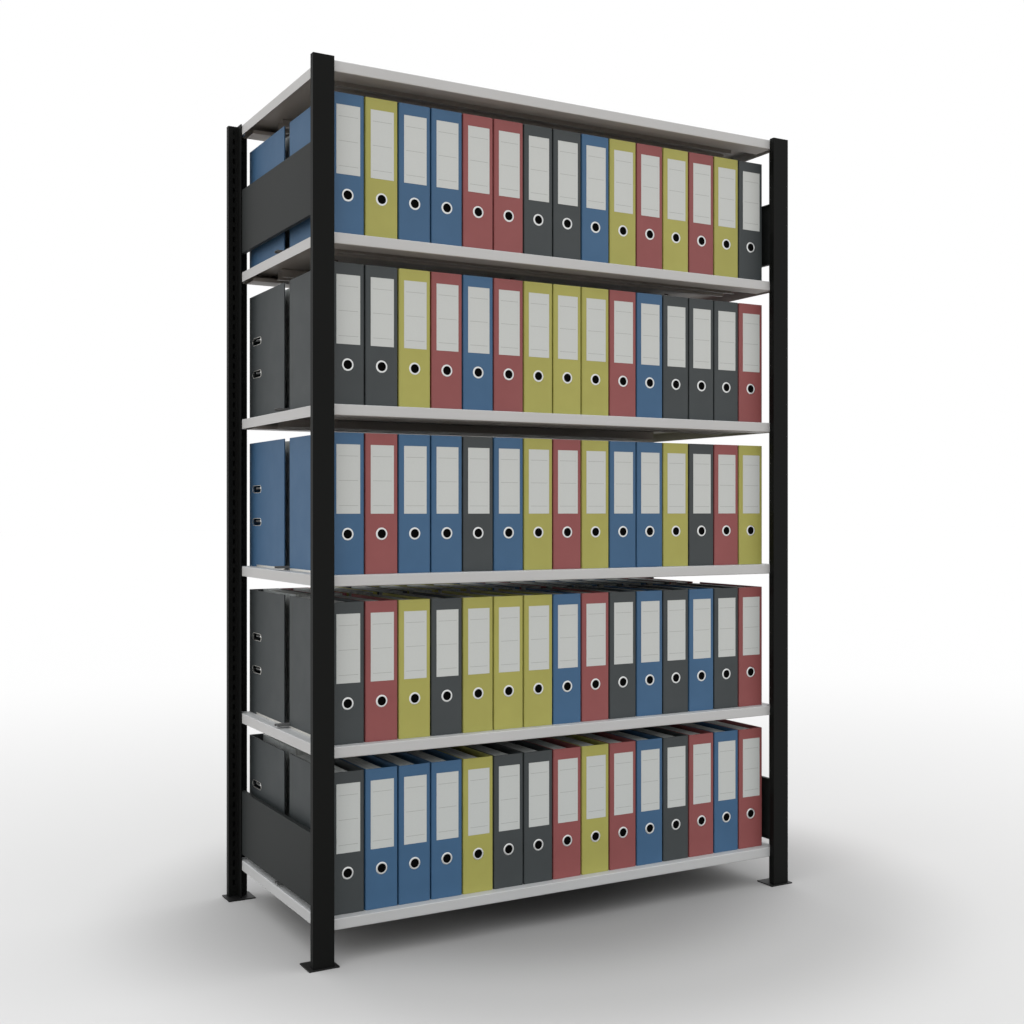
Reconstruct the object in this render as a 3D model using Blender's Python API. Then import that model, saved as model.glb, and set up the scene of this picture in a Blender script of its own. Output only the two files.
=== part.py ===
"""Archive shelving unit: a free-standing, double-sided bay of six shelves, five of them loaded with files.

Metres, +Z up, +X along the front and +Y to the rear. The origin is on the floor at the unit's centre.
"""

import math

import bmesh
import bpy

# General clearances
SEAT = 0.0003            # gap between pieces that rest on each other
PLAY = 0.001             # gap round a piece that is pushed through a slot

# Uprights: a closed flange box with a double web pointing into the unit
BAY_WIDTH = 1.300        # between the webs' centre planes
FLANGE_WIDTH = 0.050
FLANGE_DEPTH = 0.0165
UPRIGHT_SHEET = 0.0015
WEB_THICKNESS = 0.003
WEB_REACH = 0.030        # past the flange's inner wall
UPRIGHT_TOP_MARGIN = 0.0025

# Slot row in the flange's inner wall, on the bay's side of the web
SLOT_PITCH = 0.0253
SLOT_WIDTH = 0.005
SLOT_HEIGHT = 0.014
SLOT_TO_WEB = 0.0066
SLOT_BELOW_SHELF_TOP = 0.005

# Feet
FOOT_THICKNESS = 0.003
FOOT_SIDE = 0.0105       # past the flange on each side
FOOT_FRONT = 0.0056      # past the flange's outer face
FOOT_REAR = 0.0395       # past the flange's inner wall
FOOT_CORNER = 0.001
FOOT_PLUG_HEIGHT = 0.025

# Shelves
SHELF_COUNT = 6
BASE_SHELF_TOP = 0.100
SHELF_EDGE = 0.025
SHELF_SHEET = 0.001
SHELF_END_GAP = 0.0005
SHELF_LIP = 0.0585
SHELF_LIP_RETURN = 0.009
LIP_RELIEF = 0.010       # from a clip to the end of the lip beside it
HAT_FROM_EDGE = 0.088    # from the shelf's edge to the stiffener's nearer foot
HAT_FOOT = 0.0145
HAT_WIDTH = 0.031        # between the stiffener's legs
HAT_ABOVE_EDGE = 0.001   # from the edge flange's underside up to the stiffener's feet
HAT_FROM_END = 0.072     # from the shelf's end to the stiffener's end

# Shelf clips, and hooks that hang in the slot rows
CLIP_ARM = 0.030
HOOK = 0.0025            # thickness of the hook behind the wall
HOOK_DROP = 0.005

# Side panels
PANEL_HEIGHT = 0.163
PANEL_SHEET = 0.001
PANEL_FOLD = 0.010
LOWER_PANEL_RISE = 0.016  # above the lowest shelf
UPPER_PANEL_RISE = 0.049  # above the highest loaded shelf
PANEL_HOOK_INSET = 0.020  # least room from the panel's edge to a hook's slot

# Files, standing in rows with their spines outwards
FILE_WIDTH = 0.0827
FILE_HEIGHT = 0.318
FILE_DEPTH = 0.2695
FILE_BOARD = 0.0025
FILE_SPINE_EDGE = 0.002
FILE_FORE_RECESS = 0.006
FILE_SETBACK = 0.0235    # from the shelf's front edge to the front rows' spines
REAR_FILE_SETBACK = 0.0015  # from the shelf's rear edge to the rear rows' spines
FILE_ROW_CLEAR = 0.003   # least room between a row's end and the uprights' flanges
HAND_GAP = 0.035         # least room over the files

# Centre stops
STOP_WIDTH = 0.020
STOP_HEIGHT = 0.010
STOP_SHEET = 0.001
STOP_CLEAR = 0.0045      # open height under the stop, between its legs
STOP_TO_FILES = 0.0015
STOP_TO_REAR_FILES = 0.0115
LEG_LENGTH = 0.030
TONGUE_LENGTH = 0.015
TONGUE_DROP = 0.004
TONGUE_INSET = 0.148     # from the shelf's end to the last tongue's middle
TONGUE_COUNT = 3

# Sizes that follow from those above
FRONT_HALF = FILE_SETBACK + FILE_DEPTH + STOP_TO_FILES + STOP_WIDTH / 2
REAR_HALF = STOP_WIDTH / 2 + STOP_TO_REAR_FILES + FILE_DEPTH + REAR_FILE_SETBACK
SHELF_DEPTH = FRONT_HALF + REAR_HALF
STOP_Y = FRONT_HALF - SHELF_DEPTH / 2
INNER_WALL = SHELF_DEPTH / 2 + SEAT
OUTER_FACE = INNER_WALL + FLANGE_DEPTH
BAY_CLEAR = BAY_WIDTH - WEB_THICKNESS
SHELF_LENGTH = BAY_CLEAR - 2 * SHELF_END_GAP
SLOTS_PER_LEVEL = math.ceil((FILE_HEIGHT + HAND_GAP + SHELF_EDGE) / SLOT_PITCH)
LEVEL = SLOTS_PER_LEVEL * SLOT_PITCH
LEVEL_COUNT = SHELF_COUNT - 1
UPRIGHT_BOTTOM = FOOT_THICKNESS + SEAT
SLOT_FROM_WEB = WEB_THICKNESS / 2 + SLOT_TO_WEB + SLOT_WIDTH / 2
CLIP_THICKNESS = SLOT_WIDTH - 2 * PLAY
CLIP_X = BAY_WIDTH / 2 - SLOT_FROM_WEB
FILES_PER_ROW = math.floor((BAY_WIDTH - FLANGE_WIDTH - 2 * FILE_ROW_CLEAR) / FILE_WIDTH)
FILE_ROW_LENGTH = FILES_PER_ROW * FILE_WIDTH

# Colours of the files along the front, from the left, lowest level first
FILE_ORDER = (
    "KBBBYKKRYRBKRBR",
    "KRYKYYYBRKBKBKR",
    "BRBBKBYRYBBYKRY",
    "KKYRBRYYYRBKKKR",
    "BYBBRRKKBYRYRYK",
)
FILE_COLOURS = {"B": "#466588", "Y": "#a5a355", "R": "#8a4d4e", "K": "#3f4446"}


def shelf_top(index):
    """Height of a shelf's top face, counted from the lowest shelf."""
    return BASE_SHELF_TOP + index * LEVEL


def clear_scene():
    """Remove every object."""
    for item in list(bpy.data.objects):
        bpy.data.objects.remove(item, do_unlink=True)


def linear(hex_colour):
    """Linear RGBA of an sRGB hex colour."""
    channels = [int(hex_colour[i:i + 2], 16) / 255 for i in (1, 3, 5)]
    return [c / 12.92 if c <= 0.04045 else ((c + 0.055) / 1.055) ** 2.4 for c in channels] + [1.0]


def make_material(name, hex_colour, roughness, metallic=0.0):
    """A plain surface of one colour."""
    material = bpy.data.materials.new(name)
    material.use_nodes = True
    shader = material.node_tree.nodes["Principled BSDF"]
    shader.inputs["Base Color"].default_value = linear(hex_colour)
    shader.inputs["Roughness"].default_value = roughness
    shader.inputs["Metallic"].default_value = metallic
    return material


def add_prism(bm, outline, low, high, axis):
    """Add a closed outline drawn in two axes, pushed along the third from low to high."""
    to_xyz = {
        "X": lambda a, b, c: (c, a, b),
        "Y": lambda a, b, c: (a, c, b),
        "Z": lambda a, b, c: (a, b, c),
    }[axis]
    rings = [[bm.verts.new(to_xyz(a, b, c)) for a, b in outline] for c in (low, high)]
    faces = [bm.faces.new(ring) for ring in rings]
    count = len(outline)
    for i in range(count):
        j = (i + 1) % count
        faces.append(bm.faces.new((rings[0][i], rings[0][j], rings[1][j], rings[1][i])))
    bmesh.ops.recalc_face_normals(bm, faces=faces)
    return faces


def add_box(bm, low, high):
    """Add a box between two corners."""
    (x0, y0, z0), (x1, y1, z1) = low, high
    return add_prism(bm, [(x0, y0), (x1, y0), (x1, y1), (x0, y1)], z0, z1, "Z")


def finish_mesh(bm, name):
    """Turn a bmesh into a mesh."""
    mesh = bpy.data.meshes.new(name)
    bm.to_mesh(mesh)
    bm.free()
    return mesh


def boxes_mesh(name, boxes):
    """A mesh of separate boxes."""
    bm = bmesh.new()
    for low, high in boxes:
        add_box(bm, low, high)
    return finish_mesh(bm, name)


def combine(mesh, steps):
    """Run Boolean steps of (operation, tool mesh) on a mesh and give the result."""
    body = bpy.data.objects.new("body", mesh)
    bpy.context.collection.objects.link(body)
    tools = []
    for operation, tool_mesh in steps:
        tool = bpy.data.objects.new("cutter", tool_mesh)
        tool.hide_render = True
        tool.display_type = "WIRE"
        bpy.context.collection.objects.link(tool)
        tools.append(tool)
        modifier = body.modifiers.new("step", "BOOLEAN")
        modifier.operation = operation
        modifier.solver = "EXACT"
        modifier.object = tool
    result = bpy.data.meshes.new_from_object(body.evaluated_get(bpy.context.evaluated_depsgraph_get()))
    result.name = mesh.name
    for item in [body] + tools:
        bpy.data.objects.remove(item, do_unlink=True)
    return result


def place(name, mesh, material, location, parent, turned=False):
    """Add a named piece, turned half round the vertical where it faces the other way."""
    if material and not mesh.materials:
        mesh.materials.append(material)
    piece = bpy.data.objects.new(name, mesh)
    bpy.context.collection.objects.link(piece)
    piece.location = location
    piece.rotation_euler = (0.0, 0.0, math.pi if turned else 0.0)
    piece.parent = parent
    return piece


def slot_low(step):
    """Height of a slot's lower end, in steps of the slot row from the lowest shelf's own slot."""
    return shelf_top(0) - SLOT_BELOW_SHELF_TOP - SLOT_HEIGHT + step * SLOT_PITCH


def hook_outline(root, low):
    """Outline in y and z of a hook through a slot whose lower end is at low, from a root on the bay's side.

    The slotted wall's bay face is at y = 0 and the bay towards +y.
    """
    neck_low = low + SEAT
    neck_high = neck_low + SLOT_HEIGHT - HOOK_DROP - PLAY
    hook_inner = -UPRIGHT_SHEET - SEAT
    hook_outer = hook_inner - HOOK
    return [
        (root, neck_high),
        (hook_outer, neck_high),
        (hook_outer, neck_low - HOOK_DROP),
        (hook_inner, neck_low - HOOK_DROP),
        (hook_inner, neck_low),
        (root, neck_low),
    ]


def panel_bottoms():
    """Heights of the lower edges of the two panels on a side."""
    return (shelf_top(0) + LOWER_PANEL_RISE, shelf_top(LEVEL_COUNT - 1) + UPPER_PANEL_RISE)


def panel_slots(bottom):
    """Lower ends of the slots that a panel hangs in, above the panel's lower edge."""
    above_row = bottom - slot_low(0)
    first = math.ceil((above_row + PANEL_HOOK_INSET) / SLOT_PITCH)
    last = math.floor((above_row + PANEL_HEIGHT - PANEL_HOOK_INSET - SLOT_HEIGHT) / SLOT_PITCH)
    return [slot_low(step) - bottom for step in (first, last)]


def upright_mesh(bay_side):
    """An upright from its foot up, web centre at x = 0, outer face at y = 0, slots on one side of the web."""
    top = shelf_top(LEVEL_COUNT) + UPRIGHT_TOP_MARGIN
    half_flange = FLANGE_WIDTH / 2
    half_web = WEB_THICKNESS / 2
    web_end = FLANGE_DEPTH + WEB_REACH
    bm = bmesh.new()
    outline = [
        (-half_flange, 0.0),
        (half_flange, 0.0),
        (half_flange, FLANGE_DEPTH),
        (half_web, FLANGE_DEPTH),
        (half_web, web_end),
        (-half_web, web_end),
        (-half_web, FLANGE_DEPTH),
        (-half_flange, FLANGE_DEPTH),
    ]
    add_prism(bm, outline, UPRIGHT_BOTTOM, top, "Z")
    post = finish_mesh(bm, "upright")

    hollow_x = half_flange - UPRIGHT_SHEET
    hollow = boxes_mesh("hollow", [(
        (-hollow_x, UPRIGHT_SHEET, UPRIGHT_BOTTOM - UPRIGHT_SHEET),
        (hollow_x, FLANGE_DEPTH - UPRIGHT_SHEET, top + UPRIGHT_SHEET),
    )])

    # The slot row runs on the shelf pitch from above the foot's plug to the highest shelf
    lowest = UPRIGHT_BOTTOM + FOOT_PLUG_HEIGHT
    below = math.floor((slot_low(0) - lowest) / SLOT_PITCH)
    slot_x = bay_side * SLOT_FROM_WEB
    wall = (FLANGE_DEPTH - 2 * UPRIGHT_SHEET, FLANGE_DEPTH + UPRIGHT_SHEET)
    boxes = []
    for k in range(-below, LEVEL_COUNT * SLOTS_PER_LEVEL + 1):
        low = slot_low(k)
        boxes.append((
            (slot_x - SLOT_WIDTH / 2, wall[0], low),
            (slot_x + SLOT_WIDTH / 2, wall[1], low + SLOT_HEIGHT),
        ))
    return combine(post, [("DIFFERENCE", hollow), ("DIFFERENCE", boxes_mesh("slots", boxes))])


def foot_mesh():
    """A foot plate with the plug that fills the upright's hollow, outer face of the upright at y = 0."""
    half = FLANGE_WIDTH / 2 + FOOT_SIDE
    front = -FOOT_FRONT
    rear = FLANGE_DEPTH + FOOT_REAR
    c = FOOT_CORNER
    outline = [
        (-half + c, front),
        (half - c, front),
        (half, front + c),
        (half, rear - c),
        (half - c, rear),
        (-half + c, rear),
        (-half, rear - c),
        (-half, front + c),
    ]
    bm = bmesh.new()
    add_prism(bm, outline, 0.0, FOOT_THICKNESS, "Z")
    plate = finish_mesh(bm, "foot")
    edge = UPRIGHT_SHEET + SEAT
    plug = boxes_mesh("plug", [(
        (-FLANGE_WIDTH / 2 + edge, edge, FOOT_THICKNESS / 2),
        (FLANGE_WIDTH / 2 - edge, FLANGE_DEPTH - edge, UPRIGHT_BOTTOM + FOOT_PLUG_HEIGHT),
    )])
    return combine(plate, [("UNION", plug)])


def shelf_mesh():
    """A folded shelf, top face at z = 0, with end flanges, clip notches and tongue slots."""
    d = SHELF_DEPTH / 2
    h = SHELF_EDGE
    s = SHELF_SHEET
    half_length = SHELF_LENGTH / 2
    lip_edge = d - SHELF_LIP
    foot_near = d - HAT_FROM_EDGE
    leg_near = foot_near - HAT_FOOT
    leg_far = leg_near - HAT_WIDTH
    foot_far = leg_far - HAT_FOOT
    hat_low = -h + HAT_ABOVE_EDGE
    # One half of the section, from the middle of the top round the fold to the underside's middle
    half_section = [
        (d, 0.0),
        (d, -h),
        (lip_edge, -h),
        (lip_edge, -h + SHELF_LIP_RETURN),
        (lip_edge + s, -h + SHELF_LIP_RETURN),
        (lip_edge + s, -h + s),
        (d - s, -h + s),
        (d - s, -s),
        (leg_near + s, -s),
        (leg_near + s, hat_low + s),
        (foot_near, hat_low + s),
        (foot_near, hat_low),
        (leg_near, hat_low),
        (leg_near, -s),
        (leg_far, -s),
        (leg_far, hat_low),
        (foot_far, hat_low),
        (foot_far, hat_low + s),
        (leg_far - s, hat_low + s),
        (leg_far - s, -s),
    ]
    outline = half_section + [(-y, z) for y, z in reversed(half_section)]
    bm = bmesh.new()
    add_prism(bm, outline, -half_length, half_length, "X")
    tray = finish_mesh(bm, "shelf")

    ends = boxes_mesh("end_flanges", [
        ((side * half_length - (s if side > 0 else 0.0), -d, -h),
         (side * half_length + (s if side < 0 else 0.0), d, 0.0))
        for side in (-1, 1)
    ])

    # The lips stop short of the clips, the stiffeners further in, and the edge flanges are notched over the clips
    lip_end = CLIP_X - CLIP_THICKNESS / 2 - LIP_RELIEF
    hat_end = half_length - HAT_FROM_END
    half_notch = CLIP_THICKNESS / 2 + PLAY
    reliefs = []
    slots = []
    for x_side in (-1, 1):
        for y_side in (-1, 1):
            relief_x = sorted((x_side * lip_end, x_side * (half_length - s)))
            relief_y = sorted((y_side * (lip_edge - s), y_side * (d - s)))
            reliefs.append(((relief_x[0], relief_y[0], -h - s), (relief_x[1], relief_y[1], -s)))
            hat_x = sorted((x_side * hat_end, x_side * (half_length - s)))
            hat_y = sorted((y_side * (foot_far - s), y_side * (foot_near + s)))
            reliefs.append(((hat_x[0], hat_y[0], -h - s), (hat_x[1], hat_y[1], -s)))
            notch_y = sorted((y_side * (d - 2 * s), y_side * (d + s)))
            slots.append((
                (x_side * CLIP_X - half_notch, notch_y[0], -h - s),
                (x_side * CLIP_X + half_notch, notch_y[1], -s),
            ))
    tongue_y = STOP_Y + tongue_centre()
    half_slot = STOP_SHEET / 2 + PLAY / 2
    for x in tongue_places():
        slots.append((
            (x - TONGUE_LENGTH / 2 - PLAY, tongue_y - half_slot, -2 * s),
            (x + TONGUE_LENGTH / 2 + PLAY, tongue_y + half_slot, s),
        ))
    return combine(tray, [
        ("UNION", ends),
        ("DIFFERENCE", boxes_mesh("reliefs", reliefs)),
        ("DIFFERENCE", boxes_mesh("slots", slots)),
    ])


def tongue_places():
    """Places of a centre stop's tongues along the shelf."""
    reach = SHELF_LENGTH / 2 - TONGUE_INSET
    step = 2 * reach / (TONGUE_COUNT - 1)
    return [i * step - reach for i in range(TONGUE_COUNT)]


def tongue_centre():
    """Middle plane of the tongues, which are part of the stop's front wall, from the stop's middle."""
    return -STOP_WIDTH / 2 + STOP_SHEET / 2


def clip_mesh():
    """A shelf clip: a flat plate with an arm under the shelf and a hook through the upright's slot.

    Inner wall's bay face at y = 0, arm towards +y, shelf's top face at z = 0.
    """
    arm_top = -SHELF_SHEET - SEAT
    hook = hook_outline(SEAT, -SLOT_BELOW_SHELF_TOP - SLOT_HEIGHT)
    neck_high = hook[0][1]
    hook_low = hook[2][1]
    arm = [(SEAT, hook_low), (CLIP_ARM / 2, hook_low), (CLIP_ARM, neck_high), (CLIP_ARM, arm_top)]
    outline = [(SEAT, arm_top)] + hook + arm
    bm = bmesh.new()
    add_prism(bm, outline, -CLIP_THICKNESS / 2, CLIP_THICKNESS / 2, "X")
    return finish_mesh(bm, "shelf_clip")


def panel_mesh(bottom):
    """A left side panel, web's centre plane at x = 0 with the bay towards +x, lower edge at z = 0.

    The sheet lies on the bay's side of the webs. Its four edges are folded inwards, with hooks on the end folds.
    """
    s = PANEL_SHEET
    half_depth = INNER_WALL - PLAY
    outer = WEB_THICKNESS / 2 + SEAT
    fold_edge = outer + s + PANEL_FOLD
    block = boxes_mesh("side_panel", [((outer, -half_depth, 0.0), (fold_edge, half_depth, PANEL_HEIGHT))])
    inside = boxes_mesh("inside", [(
        (outer + s, -half_depth + s, s),
        (fold_edge + s, half_depth - s, PANEL_HEIGHT - s),
    )])
    bm = bmesh.new()
    for low in panel_slots(bottom):
        hook = hook_outline(PLAY + s / 2, low)
        for end in (-1, 1):
            outline = [(end * (INNER_WALL - y), z) for y, z in hook]
            add_prism(bm, outline, SLOT_FROM_WEB - CLIP_THICKNESS / 2, SLOT_FROM_WEB + CLIP_THICKNESS / 2, "X")
    return combine(block, [("DIFFERENCE", inside), ("UNION", finish_mesh(bm, "hooks"))])


def stop_mesh():
    """A centre stop: a channel open below, on short legs, with tongues from the legs through the shelf.

    The stop's middle is at y = 0 and the shelf's top face at z = 0.
    """
    half = STOP_WIDTH / 2
    s = STOP_SHEET
    outline = [
        (-half, STOP_CLEAR),
        (-half, STOP_HEIGHT),
        (half, STOP_HEIGHT),
        (half, STOP_CLEAR),
        (half - s, STOP_CLEAR),
        (half - s, STOP_HEIGHT - s),
        (-half + s, STOP_HEIGHT - s),
        (-half + s, STOP_CLEAR),
    ]
    bm = bmesh.new()
    add_prism(bm, outline, -SHELF_LENGTH / 2, SHELF_LENGTH / 2, "X")
    channel = finish_mesh(bm, "centre_stop")
    y = tongue_centre()
    root = (STOP_CLEAR + STOP_HEIGHT) / 2
    legs = boxes_mesh("legs", [
        ((x - LEG_LENGTH / 2, side - s / 2, SEAT), (x + LEG_LENGTH / 2, side + s / 2, root))
        for x in tongue_places()
        for side in (-y, y)
    ])
    tongues = boxes_mesh("tongues", [
        ((x - TONGUE_LENGTH / 2, y - s / 2, -TONGUE_DROP), (x + TONGUE_LENGTH / 2, y + s / 2, root))
        for x in tongue_places()
    ])
    return combine(channel, [("UNION", legs), ("UNION", tongues)])


def file_row_mesh(order, colours):
    """A row of files side by side, spines at y = 0, fore edges towards +y, standing on z = 0.

    Each file has chamfered spine edges, and covers that stand past the paper at the fore edge.
    """
    start = -FILE_ROW_LENGTH / 2
    edge = FILE_SPINE_EDGE
    paper = FILE_DEPTH - FILE_FORE_RECESS
    spine = [(start, edge)]
    fore = [(start, FILE_DEPTH)]
    owners = []
    for i in range(FILES_PER_ROW):
        left = start + i * FILE_WIDTH
        right = left + FILE_WIDTH
        spine += [(left + edge, 0.0), (right - edge, 0.0), (right, edge)]
        fore += [(left + FILE_BOARD, FILE_DEPTH), (left + FILE_BOARD, paper)]
        fore += [(right - FILE_BOARD, paper), (right - FILE_BOARD, FILE_DEPTH)]
        owners += [i] * 3
    fore.append((start + FILE_ROW_LENGTH, FILE_DEPTH))
    bm = bmesh.new()
    faces = add_prism(bm, spine + fore[::-1], 0.0, FILE_HEIGHT, "Z")
    keys = list(colours)
    for face, owner in zip(faces[2:], owners):
        face.material_index = keys.index(order[owner % len(order)])
    mesh = finish_mesh(bm, "file_row")
    for key in keys:
        mesh.materials.append(colours[key])
    return mesh


def build_frame(parent, dark_steel, foot_plastic):
    """The four uprights on their feet."""
    foot = foot_mesh()
    posts = {side: upright_mesh(side) for side in (-1, 1)}
    for face, y_side in (("front", -1), ("rear", 1)):
        for hand, x_side in (("left", -1), ("right", 1)):
            spot = (x_side * BAY_WIDTH / 2, y_side * OUTER_FACE, 0.0)
            turned = y_side > 0
            bay_side = x_side * y_side
            place(f"{face}_{hand}_upright", posts[bay_side], dark_steel, spot, parent, turned)
            place(f"{face}_{hand}_foot", foot, foot_plastic, spot, parent, turned)


def build_shelves(parent, light_steel, clip_steel):
    """The six shelves, each on four clips."""
    shelf = shelf_mesh()
    clip = clip_mesh()
    for i in range(SHELF_COUNT):
        place(f"shelf_{i + 1}", shelf, light_steel, (0.0, 0.0, shelf_top(i)), parent)
        for face, y_side in (("front", -1), ("rear", 1)):
            for hand, x_side in (("left", -1), ("right", 1)):
                spot = (x_side * CLIP_X, y_side * INNER_WALL, shelf_top(i))
                place(f"shelf_{i + 1}_clip_{face}_{hand}", clip, clip_steel, spot, parent, y_side > 0)


def build_side_panels(parent, dark_steel):
    """Two panels on each side, hung in the uprights' slot rows."""
    for level, bottom in zip(("lower", "upper"), panel_bottoms()):
        panel = panel_mesh(bottom)
        for hand, x_side in (("left", -1), ("right", 1)):
            spot = (x_side * BAY_WIDTH / 2, 0.0, bottom)
            place(f"{level}_{hand}_side_panel", panel, dark_steel, spot, parent, x_side > 0)


def build_load(parent, light_steel, colours):
    """A centre stop and two rows of files on each shelf but the highest."""
    stop = stop_mesh()
    front_spines = FILE_SETBACK - SHELF_DEPTH / 2
    rear_spines = SHELF_DEPTH / 2 - REAR_FILE_SETBACK
    for i in range(LEVEL_COUNT):
        place(f"centre_stop_{i + 1}", stop, light_steel, (0.0, STOP_Y, shelf_top(i)), parent)
        order = FILE_ORDER[i % len(FILE_ORDER)]
        standing = shelf_top(i) + SEAT
        front = file_row_mesh(order, colours)
        place(f"front_file_row_{i + 1}", front, None, (0.0, front_spines, standing), parent)
        rear = file_row_mesh(order[::-1], colours)
        place(f"rear_file_row_{i + 1}", rear, None, (0.0, rear_spines, standing), parent, True)


def main():
    """Build the unit."""
    clear_scene()
    unit = bpy.data.objects.new("archive_shelving_unit", None)
    bpy.context.collection.objects.link(unit)
    dark_steel = make_material("dark powder-coated steel", "#252728", 0.55)
    panel_steel = make_material("grey powder-coated steel", "#434647", 0.55)
    light_steel = make_material("light grey powder-coated steel", "#b9b9b9", 0.5)
    clip_steel = make_material("zinc-plated steel", "#9a9b9c", 0.4, 1.0)
    foot_plastic = make_material("black moulded plastic", "#1a1a1a", 0.6)
    colours = {
        key: make_material(f"laminated board {key}", hex_colour, 0.5)
        for key, hex_colour in FILE_COLOURS.items()
    }
    build_frame(unit, dark_steel, foot_plastic)
    build_shelves(unit, light_steel, clip_steel)
    build_side_panels(unit, panel_steel)
    build_load(unit, light_steel, colours)


main()
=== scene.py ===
"""Finish and fine form of an archive shelving unit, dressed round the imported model.

Metres, +Z up, +X along the front and +Y to the rear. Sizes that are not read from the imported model
are fields of the sub-assemblies' classes.
"""

import logging
import math
import random
from dataclasses import dataclass
from enum import Enum
from typing import Any, Callable, Optional, Sequence

import bmesh
import bpy
from bmesh.types import BMesh, BMVert
from bpy.types import Material, Mesh, Node, NodeSocket, NodeTree, Object
from mathutils import Matrix, Vector


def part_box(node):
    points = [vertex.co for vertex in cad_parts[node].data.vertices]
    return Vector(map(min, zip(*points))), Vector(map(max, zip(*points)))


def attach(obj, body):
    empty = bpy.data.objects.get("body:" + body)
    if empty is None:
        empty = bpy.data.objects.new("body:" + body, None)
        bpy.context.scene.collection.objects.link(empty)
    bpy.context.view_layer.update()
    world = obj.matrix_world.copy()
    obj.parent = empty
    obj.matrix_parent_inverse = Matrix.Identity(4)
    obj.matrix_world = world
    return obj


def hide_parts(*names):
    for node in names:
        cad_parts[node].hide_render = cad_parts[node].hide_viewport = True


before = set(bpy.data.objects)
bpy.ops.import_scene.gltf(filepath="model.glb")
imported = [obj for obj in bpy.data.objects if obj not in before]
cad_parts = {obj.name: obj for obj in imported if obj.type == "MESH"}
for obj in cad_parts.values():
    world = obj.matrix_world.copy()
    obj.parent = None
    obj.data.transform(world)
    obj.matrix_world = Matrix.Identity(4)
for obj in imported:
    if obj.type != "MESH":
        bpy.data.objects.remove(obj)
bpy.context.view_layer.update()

Point = tuple[float, float]
Corner = tuple[float, float, float]
Tones = tuple[tuple[float, str], ...]

log = logging.getLogger("archive_shelving")

STEEL_BODY = "shelving"
HANDS = ("left", "right")
MILLIMETRE = 0.001
QUARTER_TURN = math.pi / 2
HALF_TURN = math.pi
FULL_TURN = 2 * math.pi
SHARP_ANGLE = math.radians(38.0)
FLAT_ANGLE = math.radians(1.0)      # faces that meet at less than this are one face
MERGE_DISTANCE = 1e-6
WELD_DISTANCE = 10 * MERGE_DISTANCE
HAIRLINE = 0.0003           # gap between pieces that lie against each other
LEAST_MITRE = 0.5           # keeps a tight bend's outer corner near the bend
EDGE_STEPS = 2              # runs in a rounded edge
FOOT_EDGE = 0.0004          # radius of the feet's edges
SHEET_EDGE = 0.0003         # radius of the edges of cut sheet
SHELF_COUNT = 6
LEVEL_COUNT = SHELF_COUNT - 1
SLOTS_PER_LEVEL = 15
FILES_PER_ROW = 15
TINT = "cover_colour"       # colour attribute that the covers' finish reads

# Layers of finer noise in a pattern
FEW_LAYERS = 2.0
SOME_LAYERS = 3.0
MANY_LAYERS = 4.0

# Sockets of the Mix node, whose names repeat: first those for numbers, then those for colours
NUMBER_A, NUMBER_B, NUMBER_RESULT = 2, 3, 0
COLOUR_A, COLOUR_B, COLOUR_RESULT = 6, 7, 2


class CoverColour(Enum):
    """Colours of the files' covers."""

    BLUE = "#31587b"
    YELLOW = "#9b994d"
    RED = "#844545"
    ANTHRACITE = "#33393b"


class RowFace(Enum):
    """Side of the unit that a row of files is taken from."""

    FRONT = "front"
    REAR = "rear"


COVER_LETTERS = {
    "B": CoverColour.BLUE,
    "Y": CoverColour.YELLOW,
    "R": CoverColour.RED,
    "K": CoverColour.ANTHRACITE,
}

# Colours of the files along the front, from the left, lowest level first
FILE_ORDER = (
    "KBBBYKKRYRBKRBR",
    "KRYKYYYBRKBKBKR",
    "BRBBKBYRYBBYKRY",
    "KKYRBRYYYRBKKKR",
    "BYBBRRKKBYRYRYK",
)


def linear(hex_colour: str) -> tuple[float, float, float, float]:
    """Turn an sRGB hex colour to linear light.

    Args:
        hex_colour: Colour written as #rrggbb.

    Returns:
        Linear red, green, blue and an alpha of 1.
    """
    channels = [int(hex_colour[i:i + 2], 16) / 255 for i in (1, 3, 5)]
    red, green, blue = [c / 12.92 if c <= 0.04045 else ((c + 0.055) / 1.055) ** 2.4 for c in channels]
    return red, green, blue, 1.0


def shades(hex_colour: str, spread: float) -> tuple[list[float], list[float]]:
    """Find a darker and a lighter shade of a colour.

    Args:
        hex_colour: Colour written as #rrggbb.
        spread: How far each shade is from the colour, as a share of it.

    Returns:
        The darker and the lighter shade, in linear light.
    """
    base = linear(hex_colour)[:3]
    darker, lighter = ([c * share for c in base] + [1.0] for share in (1 - spread, 1 + spread))
    return darker, lighter


def fill(tree: NodeTree, node: Node, inputs: dict) -> None:
    """Set and link a node's inputs.

    Args:
        tree: Tree that the node is in.
        node: The node.
        inputs: Input name or number, with a socket to link or a value to set.
    """
    for key, value in inputs.items():
        if isinstance(value, NodeSocket):
            tree.links.new(value, node.inputs[key])
        else:
            node.inputs[key].default_value = value


def add_node(tree: NodeTree, kind: str, inputs: Optional[dict] = None, **settings: Any) -> Node:
    """Add a node to a shader or geometry tree, with its settings and links.

    Args:
        tree: Tree that gets the node.
        kind: The node's type name.
        inputs: Input name or number, with a socket to link or a value to set.
        settings: Properties of the node.

    Returns:
        The new node.
    """
    node = tree.nodes.new(kind)
    for name, value in settings.items():
        setattr(node, name, value)
    fill(tree, node, inputs or {})
    return node


def start_material(name: str) -> tuple[Material, NodeTree, Node, NodeSocket]:
    """Start a material.

    Args:
        name: What the real surface is.

    Returns:
        The material, its tree, its shader node and the place on the object, which the patterns follow.
    """
    material = bpy.data.materials.new(name)
    material.use_nodes = True
    tree = material.node_tree
    place = add_node(tree, "ShaderNodeTexCoord").outputs["Object"]
    return material, tree, tree.nodes["Principled BSDF"], place


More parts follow.
